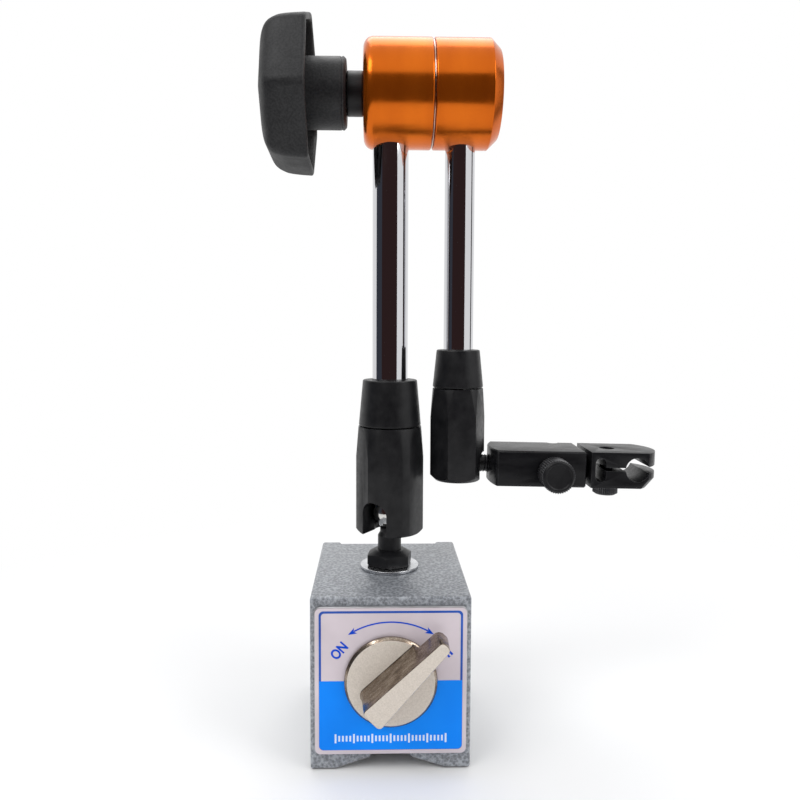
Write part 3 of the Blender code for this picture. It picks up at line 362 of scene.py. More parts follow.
def makeFinish(name, look):
    # Colour that drifts between two tones, uneven gloss, grain and turned grooves as bump
    finish = bpy.data.materials.new(name)
    finish.use_nodes = True
    tree = finish.node_tree
    shader = tree.nodes["Principled BSDF"]
    shader.inputs["Metallic"].default_value = look["metallic"]
    shader.inputs["Coat Weight"].default_value = look.get("coat", 0.0)
    shader.inputs["Coat Roughness"].default_value = look.get("coatRoughness", 0.1)
    shader.inputs["Specular IOR Level"].default_value = look.get("specular", 0.5)
    coordinates = addNode(tree, "ShaderNodeTexCoord")
    drift = noiseNode(tree, coordinates, look["driftScale"], 5.0, look.get("stretch"))
    tones = blendColours(tree, drift.outputs["Fac"], ((0.3, look["dark"]), (0.7, look["light"])))
    tree.links.new(tones, shader.inputs["Base Color"])
    wear = noiseNode(tree, coordinates, look["driftScale"] * 2.7, 6.0, look.get("stretch"))
    gloss = addNode(
        tree, "ShaderNodeMapRange",
        {"Value": wear.outputs["Fac"], "From Min": 0.3, "From Max": 0.7,
         "To Min": look["smooth"], "To Max": look["rough"]})
    tree.links.new(gloss.outputs[0], shader.inputs["Roughness"])
    grain = noiseNode(tree, coordinates, look["grainScale"], 3.0)
    relief = addNode(
        tree, "ShaderNodeBump",
        {"Height": grain.outputs["Fac"], "Distance": look["grainDepth"], "Strength": 1.0})
    if "grooveAxis" in look:
        # a wave band repeats every tau / 20 of its scale
        wave = addNode(
            tree, "ShaderNodeTexWave",
            {"Vector": coordinates.outputs["Object"], "Scale": math.tau / 20 / look["groovePitch"],
             "Distortion": 0.4, "Detail": 1.0},
            bands_direction=look["grooveAxis"])
        relief = addNode(
            tree, "ShaderNodeBump",
            {"Height": wave.outputs["Fac"], "Distance": look["grooveDepth"], "Strength": 1.0,
             "Normal": relief.outputs[0]})
    tree.links.new(relief.outputs[0], shader.inputs["Normal"])
    return finish


looks = {
    "blackSteel": {
        "dark": (0.005, 0.005, 0.006), "light": (0.013, 0.013, 0.014), "metallic": 0.0, "smooth": 0.3,
        "rough": 0.44, "specular": 0.25, "driftScale": 220, "grainScale": 3800, "grainDepth": 0.00003},
    "blackEdge": {
        "dark": (0.05, 0.05, 0.055), "light": (0.12, 0.12, 0.125), "metallic": 0.6, "smooth": 0.25,
        "rough": 0.4, "driftScale": 260, "grainScale": 3800, "grainDepth": 0.00002},
    "blackAlloy": {
        "dark": (0.004, 0.004, 0.005), "light": (0.010, 0.010, 0.011), "metallic": 0.0, "smooth": 0.26,
        "rough": 0.4, "specular": 0.2, "driftScale": 300, "grainScale": 4200, "grainDepth": 0.00002,
        "stretch": (0.25, 1.0, 1.0)},
    "chrome": {
        "dark": (0.60, 0.60, 0.62), "light": (0.68, 0.68, 0.70), "metallic": 1.0, "smooth": 0.03,
        "rough": 0.07, "driftScale": 60, "grainScale": 900, "grainDepth": 0.000002,
        "stretch": (1.0, 1.0, 0.15)},
    "brightSteel": {
        "dark": (0.62, 0.61, 0.59), "light": (0.74, 0.73, 0.71), "metallic": 1.0, "smooth": 0.08,
        "rough": 0.18, "driftScale": 200, "grainScale": 2500, "grainDepth": 0.000006},
    "zinc": {
        "dark": (0.52, 0.53, 0.55), "light": (0.74, 0.75, 0.77), "metallic": 1.0, "smooth": 0.2,
        "rough": 0.34, "driftScale": 340, "grainScale": 2600, "grainDepth": 0.00001},
    "orangeAlloy": {
        "dark": (0.56, 0.105, 0.004), "light": (0.70, 0.15, 0.007), "metallic": 0.85, "smooth": 0.16,
        "rough": 0.24, "driftScale": 90, "grainScale": 2600, "grainDepth": 0.000004,
        "grooveAxis": "X", "groovePitch": 0.00032, "grooveDepth": 0.000006, "stretch": (1.0, 0.2, 0.2)},
    "brass": {
        "dark": (0.46, 0.30, 0.10), "light": (0.62, 0.44, 0.18), "metallic": 1.0, "smooth": 0.2,
        "rough": 0.36, "driftScale": 240, "grainScale": 2400, "grainDepth": 0.00001},
    "iron": {
        "dark": (0.17, 0.17, 0.18), "light": (0.33, 0.33, 0.34), "metallic": 1.0, "smooth": 0.28,
        "rough": 0.45, "driftScale": 160, "grainScale": 1800, "grainDepth": 0.00002,
        "stretch": (1.0, 0.12, 1.0)},
    "magnet": {
        "dark": (0.03, 0.03, 0.032), "light": (0.07, 0.07, 0.075), "metallic": 0.5, "smooth": 0.4,
        "rough": 0.6, "driftScale": 200, "grainScale": 1600, "grainDepth": 0.00002},
    "alloy": {
        "dark": (0.42, 0.42, 0.43), "light": (0.58, 0.58, 0.60), "metallic": 0.9, "smooth": 0.3,
        "rough": 0.45, "driftScale": 180, "grainScale": 2200, "grainDepth": 0.00001},
    "silverPrint": {
        "dark": linear(196, 185, 191), "light": linear(216, 204, 210), "metallic": 0.1, "smooth": 0.34,
        "rough": 0.46, "driftScale": 45, "grainScale": 5200, "grainDepth": 0.000004},
    "blueInk": {
        "dark": linear(4, 128, 244), "light": linear(10, 138, 252), "metallic": 0.0, "smooth": 0.34,
        "rough": 0.46, "driftScale": 60, "grainScale": 5200, "grainDepth": 0.000004, "specular": 0.15},
    "arrowInk": {
        "dark": linear(6, 66, 188), "light": linear(12, 80, 206), "metallic": 0.0, "smooth": 0.34,
        "rough": 0.46, "driftScale": 90, "grainScale": 5200, "grainDepth": 0.000004, "specular": 0.15},
    "frostedNickel": {
        "dark": linear(198, 188, 176), "light": linear(216, 206, 195), "metallic": 0.15, "smooth": 0.46,
        "rough": 0.6, "driftScale": 2600, "grainScale": 3200, "grainDepth": 0.00005, "specular": 0.35},
    "darkInk": {
        "dark": linear(4, 62, 150), "light": linear(14, 86, 184), "metallic": 0.0, "smooth": 0.3,
        "rough": 0.4, "driftScale": 90, "grainScale": 5200, "grainDepth": 0.000004},
    "paleInk": {
        "dark": linear(204, 222, 244), "light": linear(232, 240, 250), "metallic": 0.0, "smooth": 0.35,
        "rough": 0.45, "driftScale": 90, "grainScale": 5200, "grainDepth": 0.000004},
}
finishes = {name: makeFinish(name, look) for name, look in looks.items()}


hammertoneLook = {
    "pit": linear(104, 107, 112), "body": linear(130, 133, 138), "fleck": linear(162, 166, 172),
    "cell": 1100, "depth": 0.00006, "flecks": 3200, "bend": 0.0005}


def hammertone():
    # Enamel that dries in shallow cells, with bright flecks between them
    look = hammertoneLook
    finish = bpy.data.materials.new("hammertone")
    finish.use_nodes = True
    tree = finish.node_tree
    shader = tree.nodes["Principled BSDF"]
    shader.inputs["Metallic"].default_value = 0.15
    shader.inputs["Coat Weight"].default_value = 0.25
    shader.inputs["Coat Roughness"].default_value = 0.12
    coordinates = addNode(tree, "ShaderNodeTexCoord")
    bend = noiseNode(tree, coordinates, look["cell"] * 0.7, 3.0)
    shift = addNode(
        tree, "ShaderNodeVectorMath", {0: bend.outputs["Color"], "Scale": look["bend"]}, operation="SCALE")
    warped = addNode(
        tree, "ShaderNodeVectorMath", {0: coordinates.outputs["Object"], 1: shift.outputs[0]},
        operation="ADD")
    cells = addNode(
        tree, "ShaderNodeTexVoronoi",
        {"Vector": warped.outputs[0], "Scale": look["cell"], "Smoothness": 0.6}, feature="SMOOTH_F1")
    flecks = noiseNode(tree, coordinates, look["flecks"], 2.0)
    mottle = addNode(
        tree, "ShaderNodeMath",
        {0: cells.outputs["Distance"], 1: flecks.outputs["Fac"]}, operation="MULTIPLY_ADD")
    mottle.inputs[2].default_value = 0.12
    tones = blendColours(
        tree, mottle.outputs[0], ((0.18, look["pit"]), (0.34, look["body"]), (0.52, look["fleck"])))
    tree.links.new(tones, shader.inputs["Base Color"])
    gloss = addNode(
        tree, "ShaderNodeMapRange", {"Value": flecks.outputs["Fac"], "To Min": 0.26, "To Max": 0.5})
    tree.links.new(gloss.outputs[0], shader.inputs["Roughness"])
    relief = addNode(
        tree, "ShaderNodeBump",
        {"Height": cells.outputs["Distance"], "Distance": look["depth"], "Strength": 1.0})
    tree.links.new(relief.outputs[0], shader.inputs["Normal"])
    return finish


# dark brown nickel tones: painted reflection on the sides of the dial
nickelLook = {
    "dark": (0.10, 0.07, 0.05), "body": (0.22, 0.17, 0.13), "light": (0.42, 0.36, 0.30),
    "pits": 2400, "pitDepth": 0.000015, "brush": (0.35, 1.0, 0.35), "brushScale": 700,
    "rough": 0.28, "smooth": 0.15}


def castNickelPaintedReflection():
    # Plated casting: pitted, rubbed bright on the high spots; its dark brown tones are painted reflection for the
    # dial's sides
    look = nickelLook
    finish = bpy.data.materials.new("castNickelPaintedReflection")
    finish.use_nodes = True
    tree = finish.node_tree
    shader = tree.nodes["Principled BSDF"]
    shader.inputs["Metallic"].default_value = 0.92
    coordinates = addNode(tree, "ShaderNodeTexCoord")
    pits = noiseNode(tree, coordinates, look["pits"], 5.0)
    brush = noiseNode(tree, coordinates, look["brushScale"], 4.0, look["brush"])
    mixed = addNode(
        tree, "ShaderNodeMath", {0: pits.outputs["Fac"], 1: brush.outputs["Fac"]}, operation="ADD")
    half = addNode(tree, "ShaderNodeMath", {0: mixed.outputs[0], 1: 0.5}, operation="MULTIPLY")
    tones = blendColours(
        tree, half.outputs[0], ((0.36, look["dark"]), (0.48, look["body"]), (0.62, look["light"])))
    tree.links.new(tones, shader.inputs["Base Color"])
    gloss = addNode(
        tree, "ShaderNodeMapRange",
        {"Value": half.outputs[0], "From Min": 0.35, "From Max": 0.65, "To Min": look["rough"], "To Max": look["smooth"]})
    tree.links.new(gloss.outputs[0], shader.inputs["Roughness"])
    relief = addNode(
        tree, "ShaderNodeBump",
        {"Height": pits.outputs["Fac"], "Distance": look["pitDepth"], "Strength": 1.0})
    tree.links.new(relief.outputs[0], shader.inputs["Normal"])
    return finish


plasticLook = {
    "dark": (0.010, 0.010, 0.011), "light": (0.021, 0.021, 0.022), "grain": 1500, "depth": 0.00010,
    "smooth": 0.42, "rough": 0.6, "specular": 0.3}


def mouldedPlastic():
    # Spark-eroded mould grain, a little glossier where hands rub
    look = plasticLook
    finish = bpy.data.materials.new("mouldedPlastic")
    finish.use_nodes = True
    tree = finish.node_tree
    shader = tree.nodes["Principled BSDF"]
    shader.inputs["Specular IOR Level"].default_value = look["specular"]
    coordinates = addNode(tree, "ShaderNodeTexCoord")
    grain = noiseNode(tree, coordinates, look["grain"], 3.0)
    rub = noiseNode(tree, coordinates, 90.0, 3.0)
    tones = blendColours(tree, grain.outputs["Fac"], ((0.35, look["dark"]), (0.65, look["light"])))
    tree.links.new(tones, shader.inputs["Base Color"])
    gloss = addNode(
        tree, "ShaderNodeMapRange",
        {"Value": rub.outputs["Fac"], "From Min": 0.35, "From Max": 0.65,
         "To Min": look["smooth"], "To Max": look["rough"]})
    tree.links.new(gloss.outputs[0], shader.inputs["Roughness"])
    relief = addNode(
        tree, "ShaderNodeBump",
        {"Height": grain.outputs["Fac"], "Distance": look["depth"], "Strength": 0.7})
    tree.links.new(relief.outputs[0], shader.inputs["Normal"])
    return finish


finishes["hammertone"] = hammertone()
finishes["castNickelPaintedReflection"] = castNickelPaintedReflection()
finishes["mouldedPlastic"] = mouldedPlastic()
slotFinish = {
    "hammertone": "hammertone", "alloy": "alloy", "iron": "iron", "magnet": "magnet", "label": "silverPrint",
    "nickel": "castNickelPaintedReflection", "zinc": "zinc", "black_steel": "blackSteel", "black_alloy": "blackAlloy",
    "bright_steel": "brightSteel", "chrome": "chrome", "orange_alloy": "orangeAlloy",
    "black_plastic": "mouldedPlastic", "brass": "brass"}
print("finishes ready")


# Magnetic block

blockSizes = {
    "edge": 0.0009, "grooveHalf": 0.017, "grooveRise": 0.0036, "channelHalf": 0.0061, "channel": 0.008,
    "reliefHalf": 0.018, "relief": 0.002}


def makeBlock():
    sizes = blockSizes
    low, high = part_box("pole_left")[0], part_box("pole_right")[1]
    middle = (low + high) / 2
    half = (high.x - low.x) / 2
    side = [
        (sizes["channelHalf"], sizes["channel"]), (sizes["channelHalf"], sizes["grooveRise"]),
        (sizes["grooveHalf"], 0), (half, 0), (half, high.z)]
    outline = side + [(-across, up) for across, up in reversed(side)]
    place = Matrix.Translation((middle.x, middle.y, 0)) @ facingViewer
    deep = (high.y - low.y) / 2
    block = prism(
        "painted_block", outline, -deep, deep, place, [finishes["hammertone"], finishes["iron"]])
    gutter = prism(
        "gutter", roundedBox(sizes["reliefHalf"], high.z + sizes["relief"], sizes["edge"]), -deep - sizes["relief"],
        -deep + sizes["relief"], place, [finishes["hammertone"]])
    carve(block, gutter)
    softenEdges(block, sizes["edge"], 4)
    for face in block.data.polygons:
        # the ground feet and the groove between them are bare iron
        if face.normal.z < -0.5 and face.center.z < sizes["channel"] + tiny:
            face.material_index = 1
    settle(block, "base", "hammertone", "pole_left", "pole_right", "pole_spacer_top", "pole_spacer_bottom")


makeBlock()
frontCover = softenedCopy("front_cover_plate", "front_cover", 0.00025, [finishes["alloy"]])
settle(frontCover, "base", "alloy", "front_cover")
rearCover = softenedCopy("rear_cover_plate", "rear_cover", 0.0003, [finishes["hammertone"]])
settle(rearCover, "base", "hammertone", "rear_cover")
labelPlate = softenedCopy("label_foil", "label_plate", 0.00008, [finishes["silverPrint"]])
settle(labelPlate, "base", "label", "label_plate")
print("block and plates ready")


# Printed plate: border, blue half, words, arrow and a row of scale marks

labelSizes = {
    "inkDepth": 0.00004, "inkSink": 0.00002, "borderHalf": 0.0221, "borderHigh": 0.0220, "borderCorner": 0.0014,
    "line": 0.0007, "blueTop": 0.0, "capHeight": 0.0031, "wordRadius": 0.0184, "wordAngle": 59,
    "wordTurn": 48, "wordSqueeze": 0.82, "wordWeight": 0.045, "arrowCentre": -0.0055, "arrowRadius": 0.0240,
    "arrowAngle": 33.3, "arrowLine": 0.00045, "arrowHead": 0.0010, "arrowHeadLong": 0.0027, "marks": 31,
    "markWidth": 0.00055, "markHeight": 0.0018, "markRow": -0.0183, "markSpan": 0.034}
labelLow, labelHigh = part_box("label_plate")
labelMiddle = (labelLow + labelHigh) / 2
printFrame = Matrix.Translation((labelMiddle.x, labelLow.y, jointPlace("switch_turn").z)) @ facingViewer


def inked(name, outline, ink):
    piece = prism(
        name, outline, -labelSizes["inkSink"], labelSizes["inkDepth"], printFrame, [finishes[ink]])
    return settle(piece, "base", "label")


def printBorder():
    sizes = labelSizes
    outer = roundedBox(sizes["borderHalf"], sizes["borderHigh"], sizes["borderCorner"])
    inner = roundedBox(
        sizes["borderHalf"] - sizes["line"], sizes["borderHigh"] - sizes["line"],
        sizes["borderCorner"] - sizes["line"] / 2)
    low, high = -sizes["inkSink"], sizes["inkDepth"]
    work = bmesh.new()
    rings = []
    for outline, height in ((outer, low), (outer, high), (inner, high), (inner, low)):
        rings.append([work.verts.new((across, up, height)) for across, up in outline])
    for ring, following in zip(rings, rings[1:] + rings[:1]):
        for index in range(len(ring)):
            after = (index + 1) % len(ring)
            work.faces.new((ring[index], ring[after], following[after], following[index]))
    settle(makeObject("label_border", work, printFrame, [finishes["darkInk"]]), "base", "label")


def printBlueHalf():
    sizes = labelSizes
    wide = sizes["borderHalf"] - sizes["line"] * 0.15
    low = -sizes["borderHigh"] + sizes["line"] * 0.15
    corner = sizes["borderCorner"]
    outline = [(wide, sizes["blueTop"]), (-wide, sizes["blueTop"])]
    outline += arc((-wide + corner, low + corner), corner, 180, 270, 8)
    outline += arc((wide - corner, low + corner), corner, 270, 360, 8)
    piece = prism(
        "label_blue", outline, -sizes["inkSink"], sizes["inkDepth"] * 1.3, printFrame,
        [finishes["blueInk"]])
    settle(piece, "base", "label")


def printWord(name, word, side):
    sizes = labelSizes
    letters = bpy.data.curves.new(name, "FONT")
    letters.body = word
    letters.align_x = "CENTER"
    letters.align_y = "CENTER"
    letters.size = sizes["capHeight"] / 0.72  # the font's capitals are 0.72 of its size
    letters.offset = sizes["capHeight"] * sizes["wordWeight"]
    letters.extrude = sizes["inkDepth"] / 2
    guide = bpy.data.objects.new(name + "_guide", letters)
    bpy.context.scene.collection.objects.link(guide)
    bpy.context.view_layer.update()
    mesh = bpy.data.meshes.new_from_object(guide.evaluated_get(bpy.context.evaluated_depsgraph_get()))
    bpy.data.objects.remove(guide)
    angle = math.radians(sizes["wordAngle"])
    place = Matrix.Translation((
        side * sizes["wordRadius"] * math.sin(angle),
        sizes["wordRadius"] * math.cos(angle), sizes["inkDepth"] / 2))
    turn = Matrix.Rotation(-side * math.radians(sizes["wordTurn"]), 4, "Z")
    mesh.transform(printFrame @ place @ turn @ Matrix.Diagonal((sizes["wordSqueeze"], 1, 1, 1)))
    work = bmesh.new()
    work.from_mesh(mesh)
    bmesh.ops.remove_doubles(work, verts=work.verts, dist=0.0000005)
    piece = makeObject(name, work, Matrix.Identity(4), [finishes["arrowInk"]])
    piece.data.materials.clear()
    piece.data.materials.append(finishes["arrowInk"])
    settle(piece, "base", "label")


def printArrow():
    sizes = labelSizes
    centre = (0, sizes["arrowCentre"])
    start, end = 90 + sizes["arrowAngle"], 90 - sizes["arrowAngle"]
    radius, line = sizes["arrowRadius"], sizes["arrowLine"] / 2
    neck = math.degrees(sizes["arrowHeadLong"] / radius)
    band = arc(centre, radius + line, start - neck * 0.8, end + neck * 0.8, 32)
    band += arc(centre, radius - line, end + neck * 0.8, start - neck * 0.8, 32)
    inked("label_arrow", band, "arrowInk")
    for name, tip, way in (("label_arrow_on", start, -1), ("label_arrow_off", end, 1)):
        foot = tip + way * neck
        head = arc(centre, radius, tip, tip, 1)[:1]
        head += arc(centre, radius + sizes["arrowHead"], foot, foot, 1)[:1]
        head += arc(centre, radius, foot - way * neck * 0.25, foot - way * neck * 0.25, 1)[:1]
        head += arc(centre, radius - sizes["arrowHead"], foot, foot, 1)[:1]
        inked(name, head, "arrowInk")


def printMarks():
    sizes = labelSizes
    spacing = sizes["markSpan"] / (sizes["marks"] - 1)
    place = printFrame @ Matrix.Translation((-sizes["markSpan"] / 2, sizes["markRow"], sizes["inkDepth"]))
    marks = growNodes(
        "label_marks",
        {"Count": sizes["marks"], "Spacing": spacing, "Width": sizes["markWidth"],
         "Height": sizes["markHeight"], "Thickness": sizes["inkDepth"] * 2},
        wireTicks, finishes["paleInk"], place)
    settle(marks, "base", "label")


printBorder()
printBlueHalf()
printWord("label_on", "ON", -1)
printWord("label_off", "OFF", 1)
printArrow()
printMarks()
print("printed plate ready")


# Switch dial with its lever

dialSizes = {
    "radius": 0.0143, "chamfer": 0.0009, "disc": 0.00175, "lean": 44.4, "long": 0.0230, "short": 0.0087,
    "tip": 0.0019, "tail": 0.0036, "draft": 0.0010, "corner": 0.0014, "edge": 0.0005, "root": 0.0006,
    "overhang": 0.0032, "gap": 0.0003, "spare": 0.004, "facing": -0.8}


def leverLoop(grown, height):
    sizes = dialSizes
    corner = max(sizes["corner"] + grown, 0.0004)
    longEnd = sizes["long"] + min(grown, 0) - corner  # its end wall stands upright
    shortEnd = sizes["short"] + grown - corner
    tip, tail = sizes["tip"] + grown - corner, sizes["tail"] + grown - corner
    outline = (
        arc((longEnd, tip), corner, 0, 90, 6) + arc((-shortEnd, tail), corner, 90, 180, 6)
        + arc((-shortEnd, -tail), corner, 180, 270, 6) + arc((longEnd, -tip), corner, 270, 360, 6))
    return [(across, up, height) for across, up in outline]


def makeDial():
    sizes = dialSizes
    low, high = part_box("switch_dial")
    start = jointPlace("switch_turn").y
    back, top = start - high.y, start - low.y
    face = back + sizes["disc"]
    profile = [
        (0, face), (sizes["radius"] - sizes["chamfer"], face), (sizes["radius"], face - sizes["chamfer"]),
        (sizes["radius"], back), (0, back)]
    pair = [finishes["castNickelPaintedReflection"], finishes["frostedNickel"]]
    dial = lathe("switch_dial_cast", softCorners(profile, 0.0004), switchFrame, pair, 128)
    loops = []
    for share in (0, 0.25, 0.5, 0.75, 1.0):
        # the root flares into the disc
        flare = sizes["root"] * (1 - share) ** 2
        loops.append(leverLoop(sizes["draft"] + flare, face - 0.0002 + share * sizes["root"] * 1.6))
    side = face + sizes["root"] * 1.6
    rise = top - sizes["edge"] - side
    for share in (0.5, 1.0):
        loops.append(leverLoop(sizes["draft"] * (1 - share), side + rise * share))
    for step in range(1, 5):
        angle = quarter * step / 4
        loops.append(leverLoop(
            -sizes["edge"] * (1 - math.cos(angle)), top - sizes["edge"] * (1 - math.sin(angle))))
    turn = Matrix.Rotation(quarter - math.radians(sizes["lean"]), 4, "Z")
    lever = skin("lever", loops, switchFrame @ turn, pair)
    inner, outer = sizes["radius"] - sizes["gap"], sizes["long"] + sizes["spare"]
    under = face + sizes["overhang"]
    room = lathe(
        "room", [(inner, under), (outer, under), (outer, back - sizes["spare"]), (inner, back - sizes["spare"])],
        switchFrame, pair, 120, True)
    carve(lever, room)
    carve(dial, lever, "UNION")
    for side in dial.data.polygons:
        side.material_index = int(side.normal.y < sizes["facing"])  # frosted where it faces the viewer; all other faces take the dark brown nickel, which is painted reflection
    settle(dial, "switch", "nickel", "switch_dial")


makeDial()
print("switch dial ready")


# Ball stud

studSizes = {
    "acrossFlats": 0.014, "turn": 20.5, "chamfer": 0.0010, "edge": 0.00025, "neck": 0.0040, "neckTop": 0.00325,
    "neckEnd": 0.0662, "taperEnd": 0.0675, "shoulder": 0.0689, "pin": 0.0024, "thread": 0.0039,
    "hexLow": 0.0563, "hexHigh": 0.0613, "crown": 0.0052, "crownDrop": 0.0017, "foot": 0.0005}


def hexPrism(name, flat, low, high, turn, place, finish):
    # flat is from the middle to a flat side
    outline = [
        (flat / math.cos(math.radians(30)) * math.cos(math.radians(turn + 60 * side)),
         flat / math.cos(math.radians(30)) * math.sin(math.radians(turn + 60 * side)))
        for side in range(6)]
    return prism(name, outline, low, high, place, finish)


def chamferedNut(name, across, low, high, crown, chamfer, turn, place, finish):
    # crown holds its flat top's radius, its drop at the corners and the foot's chamfer
    flat = across / 2
    corner = flat / math.cos(math.radians(30))
    top, drop, foot = crown
    spare = flat / 20  # the cutter reaches past the corners on the same slopes
    trim = lathe(
        "trim", [(0, high), (top, high), (corner + spare, high - drop * (1 + spare / (corner - top))),
                 (corner + spare, low + foot + spare), (corner - foot, low), (0, low)], place, finish, 100)
    nut = hexPrism(name, flat, low, high, turn, place, finish)
    carve(nut, trim, "INTERSECT")
    return softenEdges(nut, chamfer, 2, 40)


def makeStud():
    sizes = studSizes
    place = Matrix.Translation((mainBall.x, mainBall.y, 0))
    low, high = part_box("stud_washer")
    radius = (high.x - low.x) / 2
    washer = lathe(
        "stud_washer_turned",
        bored(softCorners([(sizes["thread"] + 0.0005, high.z), (radius, high.z), (radius, low.z),
                           (sizes["thread"] + 0.0005, low.z)], sizes["edge"]), sizes["thread"] + 0.0004),
        place, [finishes["zinc"]], 128, True)
    settle(washer, "base", "zinc", "stud_washer")
    stud = chamferedNut(
        "ball_stud_turned", sizes["acrossFlats"], sizes["hexLow"], sizes["hexHigh"],
        (sizes["crown"], sizes["crownDrop"], sizes["foot"]), 0.00018, sizes["turn"], place,
        [finishes["blackSteel"]])
    low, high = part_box("ball_stud")
    neck = lathe(
        "neck",
        softCorners([(0, high.z), (sizes["pin"], high.z), (sizes["pin"], sizes["shoulder"]),
                     (sizes["neckTop"], sizes["shoulder"]), (sizes["neckTop"], sizes["taperEnd"]),
                     (sizes["neck"], sizes["neckEnd"]), (sizes["neck"], sizes["hexHigh"]),
                     (sizes["thread"], sizes["hexLow"] + 0.001), (sizes["thread"], low.z), (0, low.z)],
                    sizes["edge"]),
        place, [finishes["blackSteel"]], 72)
    carve(stud, neck, "UNION")
    settle(stud, "base", "black_steel", "ball_stud")
    low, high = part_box("main_ball")
    settle(makeBall("main_ball_ground", (high.x - low.x) / 2, mainFrame), "main_swivel_ball",
           "bright_steel", "main_ball")


def makeBall(name, radius, place):
    profile = [(radius * math.sin(math.pi * step / 40), radius * math.cos(math.pi * step / 40))
               for step in range(41)]
    profile[0], profile[-1] = (0, radius), (0, -radius)
    return lathe(name, profile, place, [finishes["brightSteel"]], 80)


makeStud()
print("ball stud ready")


# Sockets, caps and rods of both arms

mainSocketSizes = {
    "corner": 0.0115, "top": 0.0107, "flat": 0.0106, "taper": 0.0192, "edge": 0.0010, "turn": -123.0,
    "slot": 0.0094, "slotTurn": -123.0, "slotTop": 0.0003, "bore": 0.0063, "lip": 0.0052, "lipHeight": 0.0034,
    "soft": 0.00028}
secondSocketSizes = {
    "corner": 0.00939, "top": 0.00855, "flat": 0.00813, "taper": 0.0156, "edge": 0.0018, "turn": 5.0,
    "slot": 0.0069, "slotTurn": 0.0, "slotTop": 0.0003, "bore": 0.0053, "lip": 0.0042, "lipHeight": 0.0032,
    "soft": 0.00028}


def makeSocket(name, node, sizes, place, body):
    low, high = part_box(node)
    centre = place.translation.z
    bottom, top = low.z - centre, high.z - centre
    pair = [finishes["blackSteel"], finishes["blackEdge"]]
    profile = [
        (0, top), (sizes["top"], top), (sizes["corner"], sizes["taper"]),
        (sizes["corner"], bottom + sizes["edge"]), (sizes["corner"] - sizes["edge"], bottom), (0, bottom)]
    socket = lathe(name, profile, place, pair, 116)  # no step falls on the slot's turn
    spare = 0.004
    sides = hexPrism("sides", sizes["flat"], bottom - spare, top + spare, sizes["turn"], place, pair)
    carve(socket, sides, "INTERSECT")
    bore = lathe(
        "bore",
        [(0, top + spare), (sizes["bore"], top + spare), (sizes["bore"], -sizes["lipHeight"] / 2),
         (sizes["lip"], -sizes["lipHeight"]), (sizes["lip"], bottom - spare), (0, bottom - spare)],
        place, pair, 92)
    carve(socket, bore)
    reach = sizes["corner"] + spare
    outline = arc((0, sizes["slotTop"]), sizes["slot"] / 2, 0, 180, 24)
    outline += [(-sizes["slot"] / 2, bottom - spare), (sizes["slot"] / 2, bottom - spare)]
    turn = Matrix.Rotation(math.radians(sizes["slotTurn"]) + quarter, 4, "Z")
    slot = prism("slot", outline, 0, reach, place @ turn @ facingViewer, pair)
    carve(socket, slot)
    softenEdges(socket, sizes["soft"], 2, 24, True)
    settle(socket, body, "black_steel", node)


def makeCap(name, node, bore, topShare, place, body):
    low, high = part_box(node)
    centre = place.translation.z
    radius = (high.x - low.x) / 2
    profile = softCorners(
        [(bore, high.z - centre), (radius * topShare, high.z - centre), (radius, low.z - centre),
         (bore, low.z - centre)], 0.0006)
    cap = lathe(
        name, bored(profile, bore - 0.0001), place, [finishes["blackSteel"]], 120, True)
    settle(cap, body, "black_steel", node)


def makeRod(name, node, bore, place, body):
    low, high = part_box(node)
    centre = place.translation.z
    radius = (high.x - low.x) / 2
    profile = softCorners(
        [(bore, high.z - centre), (radius, high.z - centre), (radius, low.z - centre), (bore, low.z - centre)],
        0.0004)
    rod = lathe(name, bored(profile, bore - 0.0001), place, [finishes["chrome"]], 128, True)
    settle(rod, body, "chrome", node)


makeSocket("main_socket_milled", "main_socket", mainSocketSizes, mainFrame, "main_arm")
makeCap("main_cap_turned", "main_socket_cap", 0.0062, 0.868, mainFrame, "main_arm")
makeRod("main_rod_chromed", "main_rod", 0.0030, mainFrame, "main_arm")
makeSocket("second_socket_milled", "second_socket", secondSocketSizes, secondFrame, "second_arm")
makeCap("second_cap_turned", "second_socket_cap", 0.0052, 0.849, secondFrame, "second_arm")
makeRod("second_rod_chromed", "second_rod", 0.0027, secondFrame, "second_arm")
print("arms ready")


# Elbow: two turned shells, the ring between them, the nut in its recess

elbowSizes = {
    "fillet": 0.0033, "lip": 0.0005, "bore": 0.0043, "recess": 0.0080, "recessDepth": 0.0039, "soft": 0.00035,
    "nut": 0.012, "nutCrown": 0.0058, "nutDrop": 0.0006, "barChamfer": 0.0006, "chamfer": 0.0032,
    "faceStart": 0.004, "rim": 0.002}


def roundedEnd(radius, end, fillet, inner):
    # From the outer side round to the end face on the left
    points = []
    for step in range(13):
        angle = quarter * step / 12
        points.append((radius - fillet + fillet * math.cos(angle), end + fillet * (1 - math.sin(angle))))
    return points + [(inner, end)]


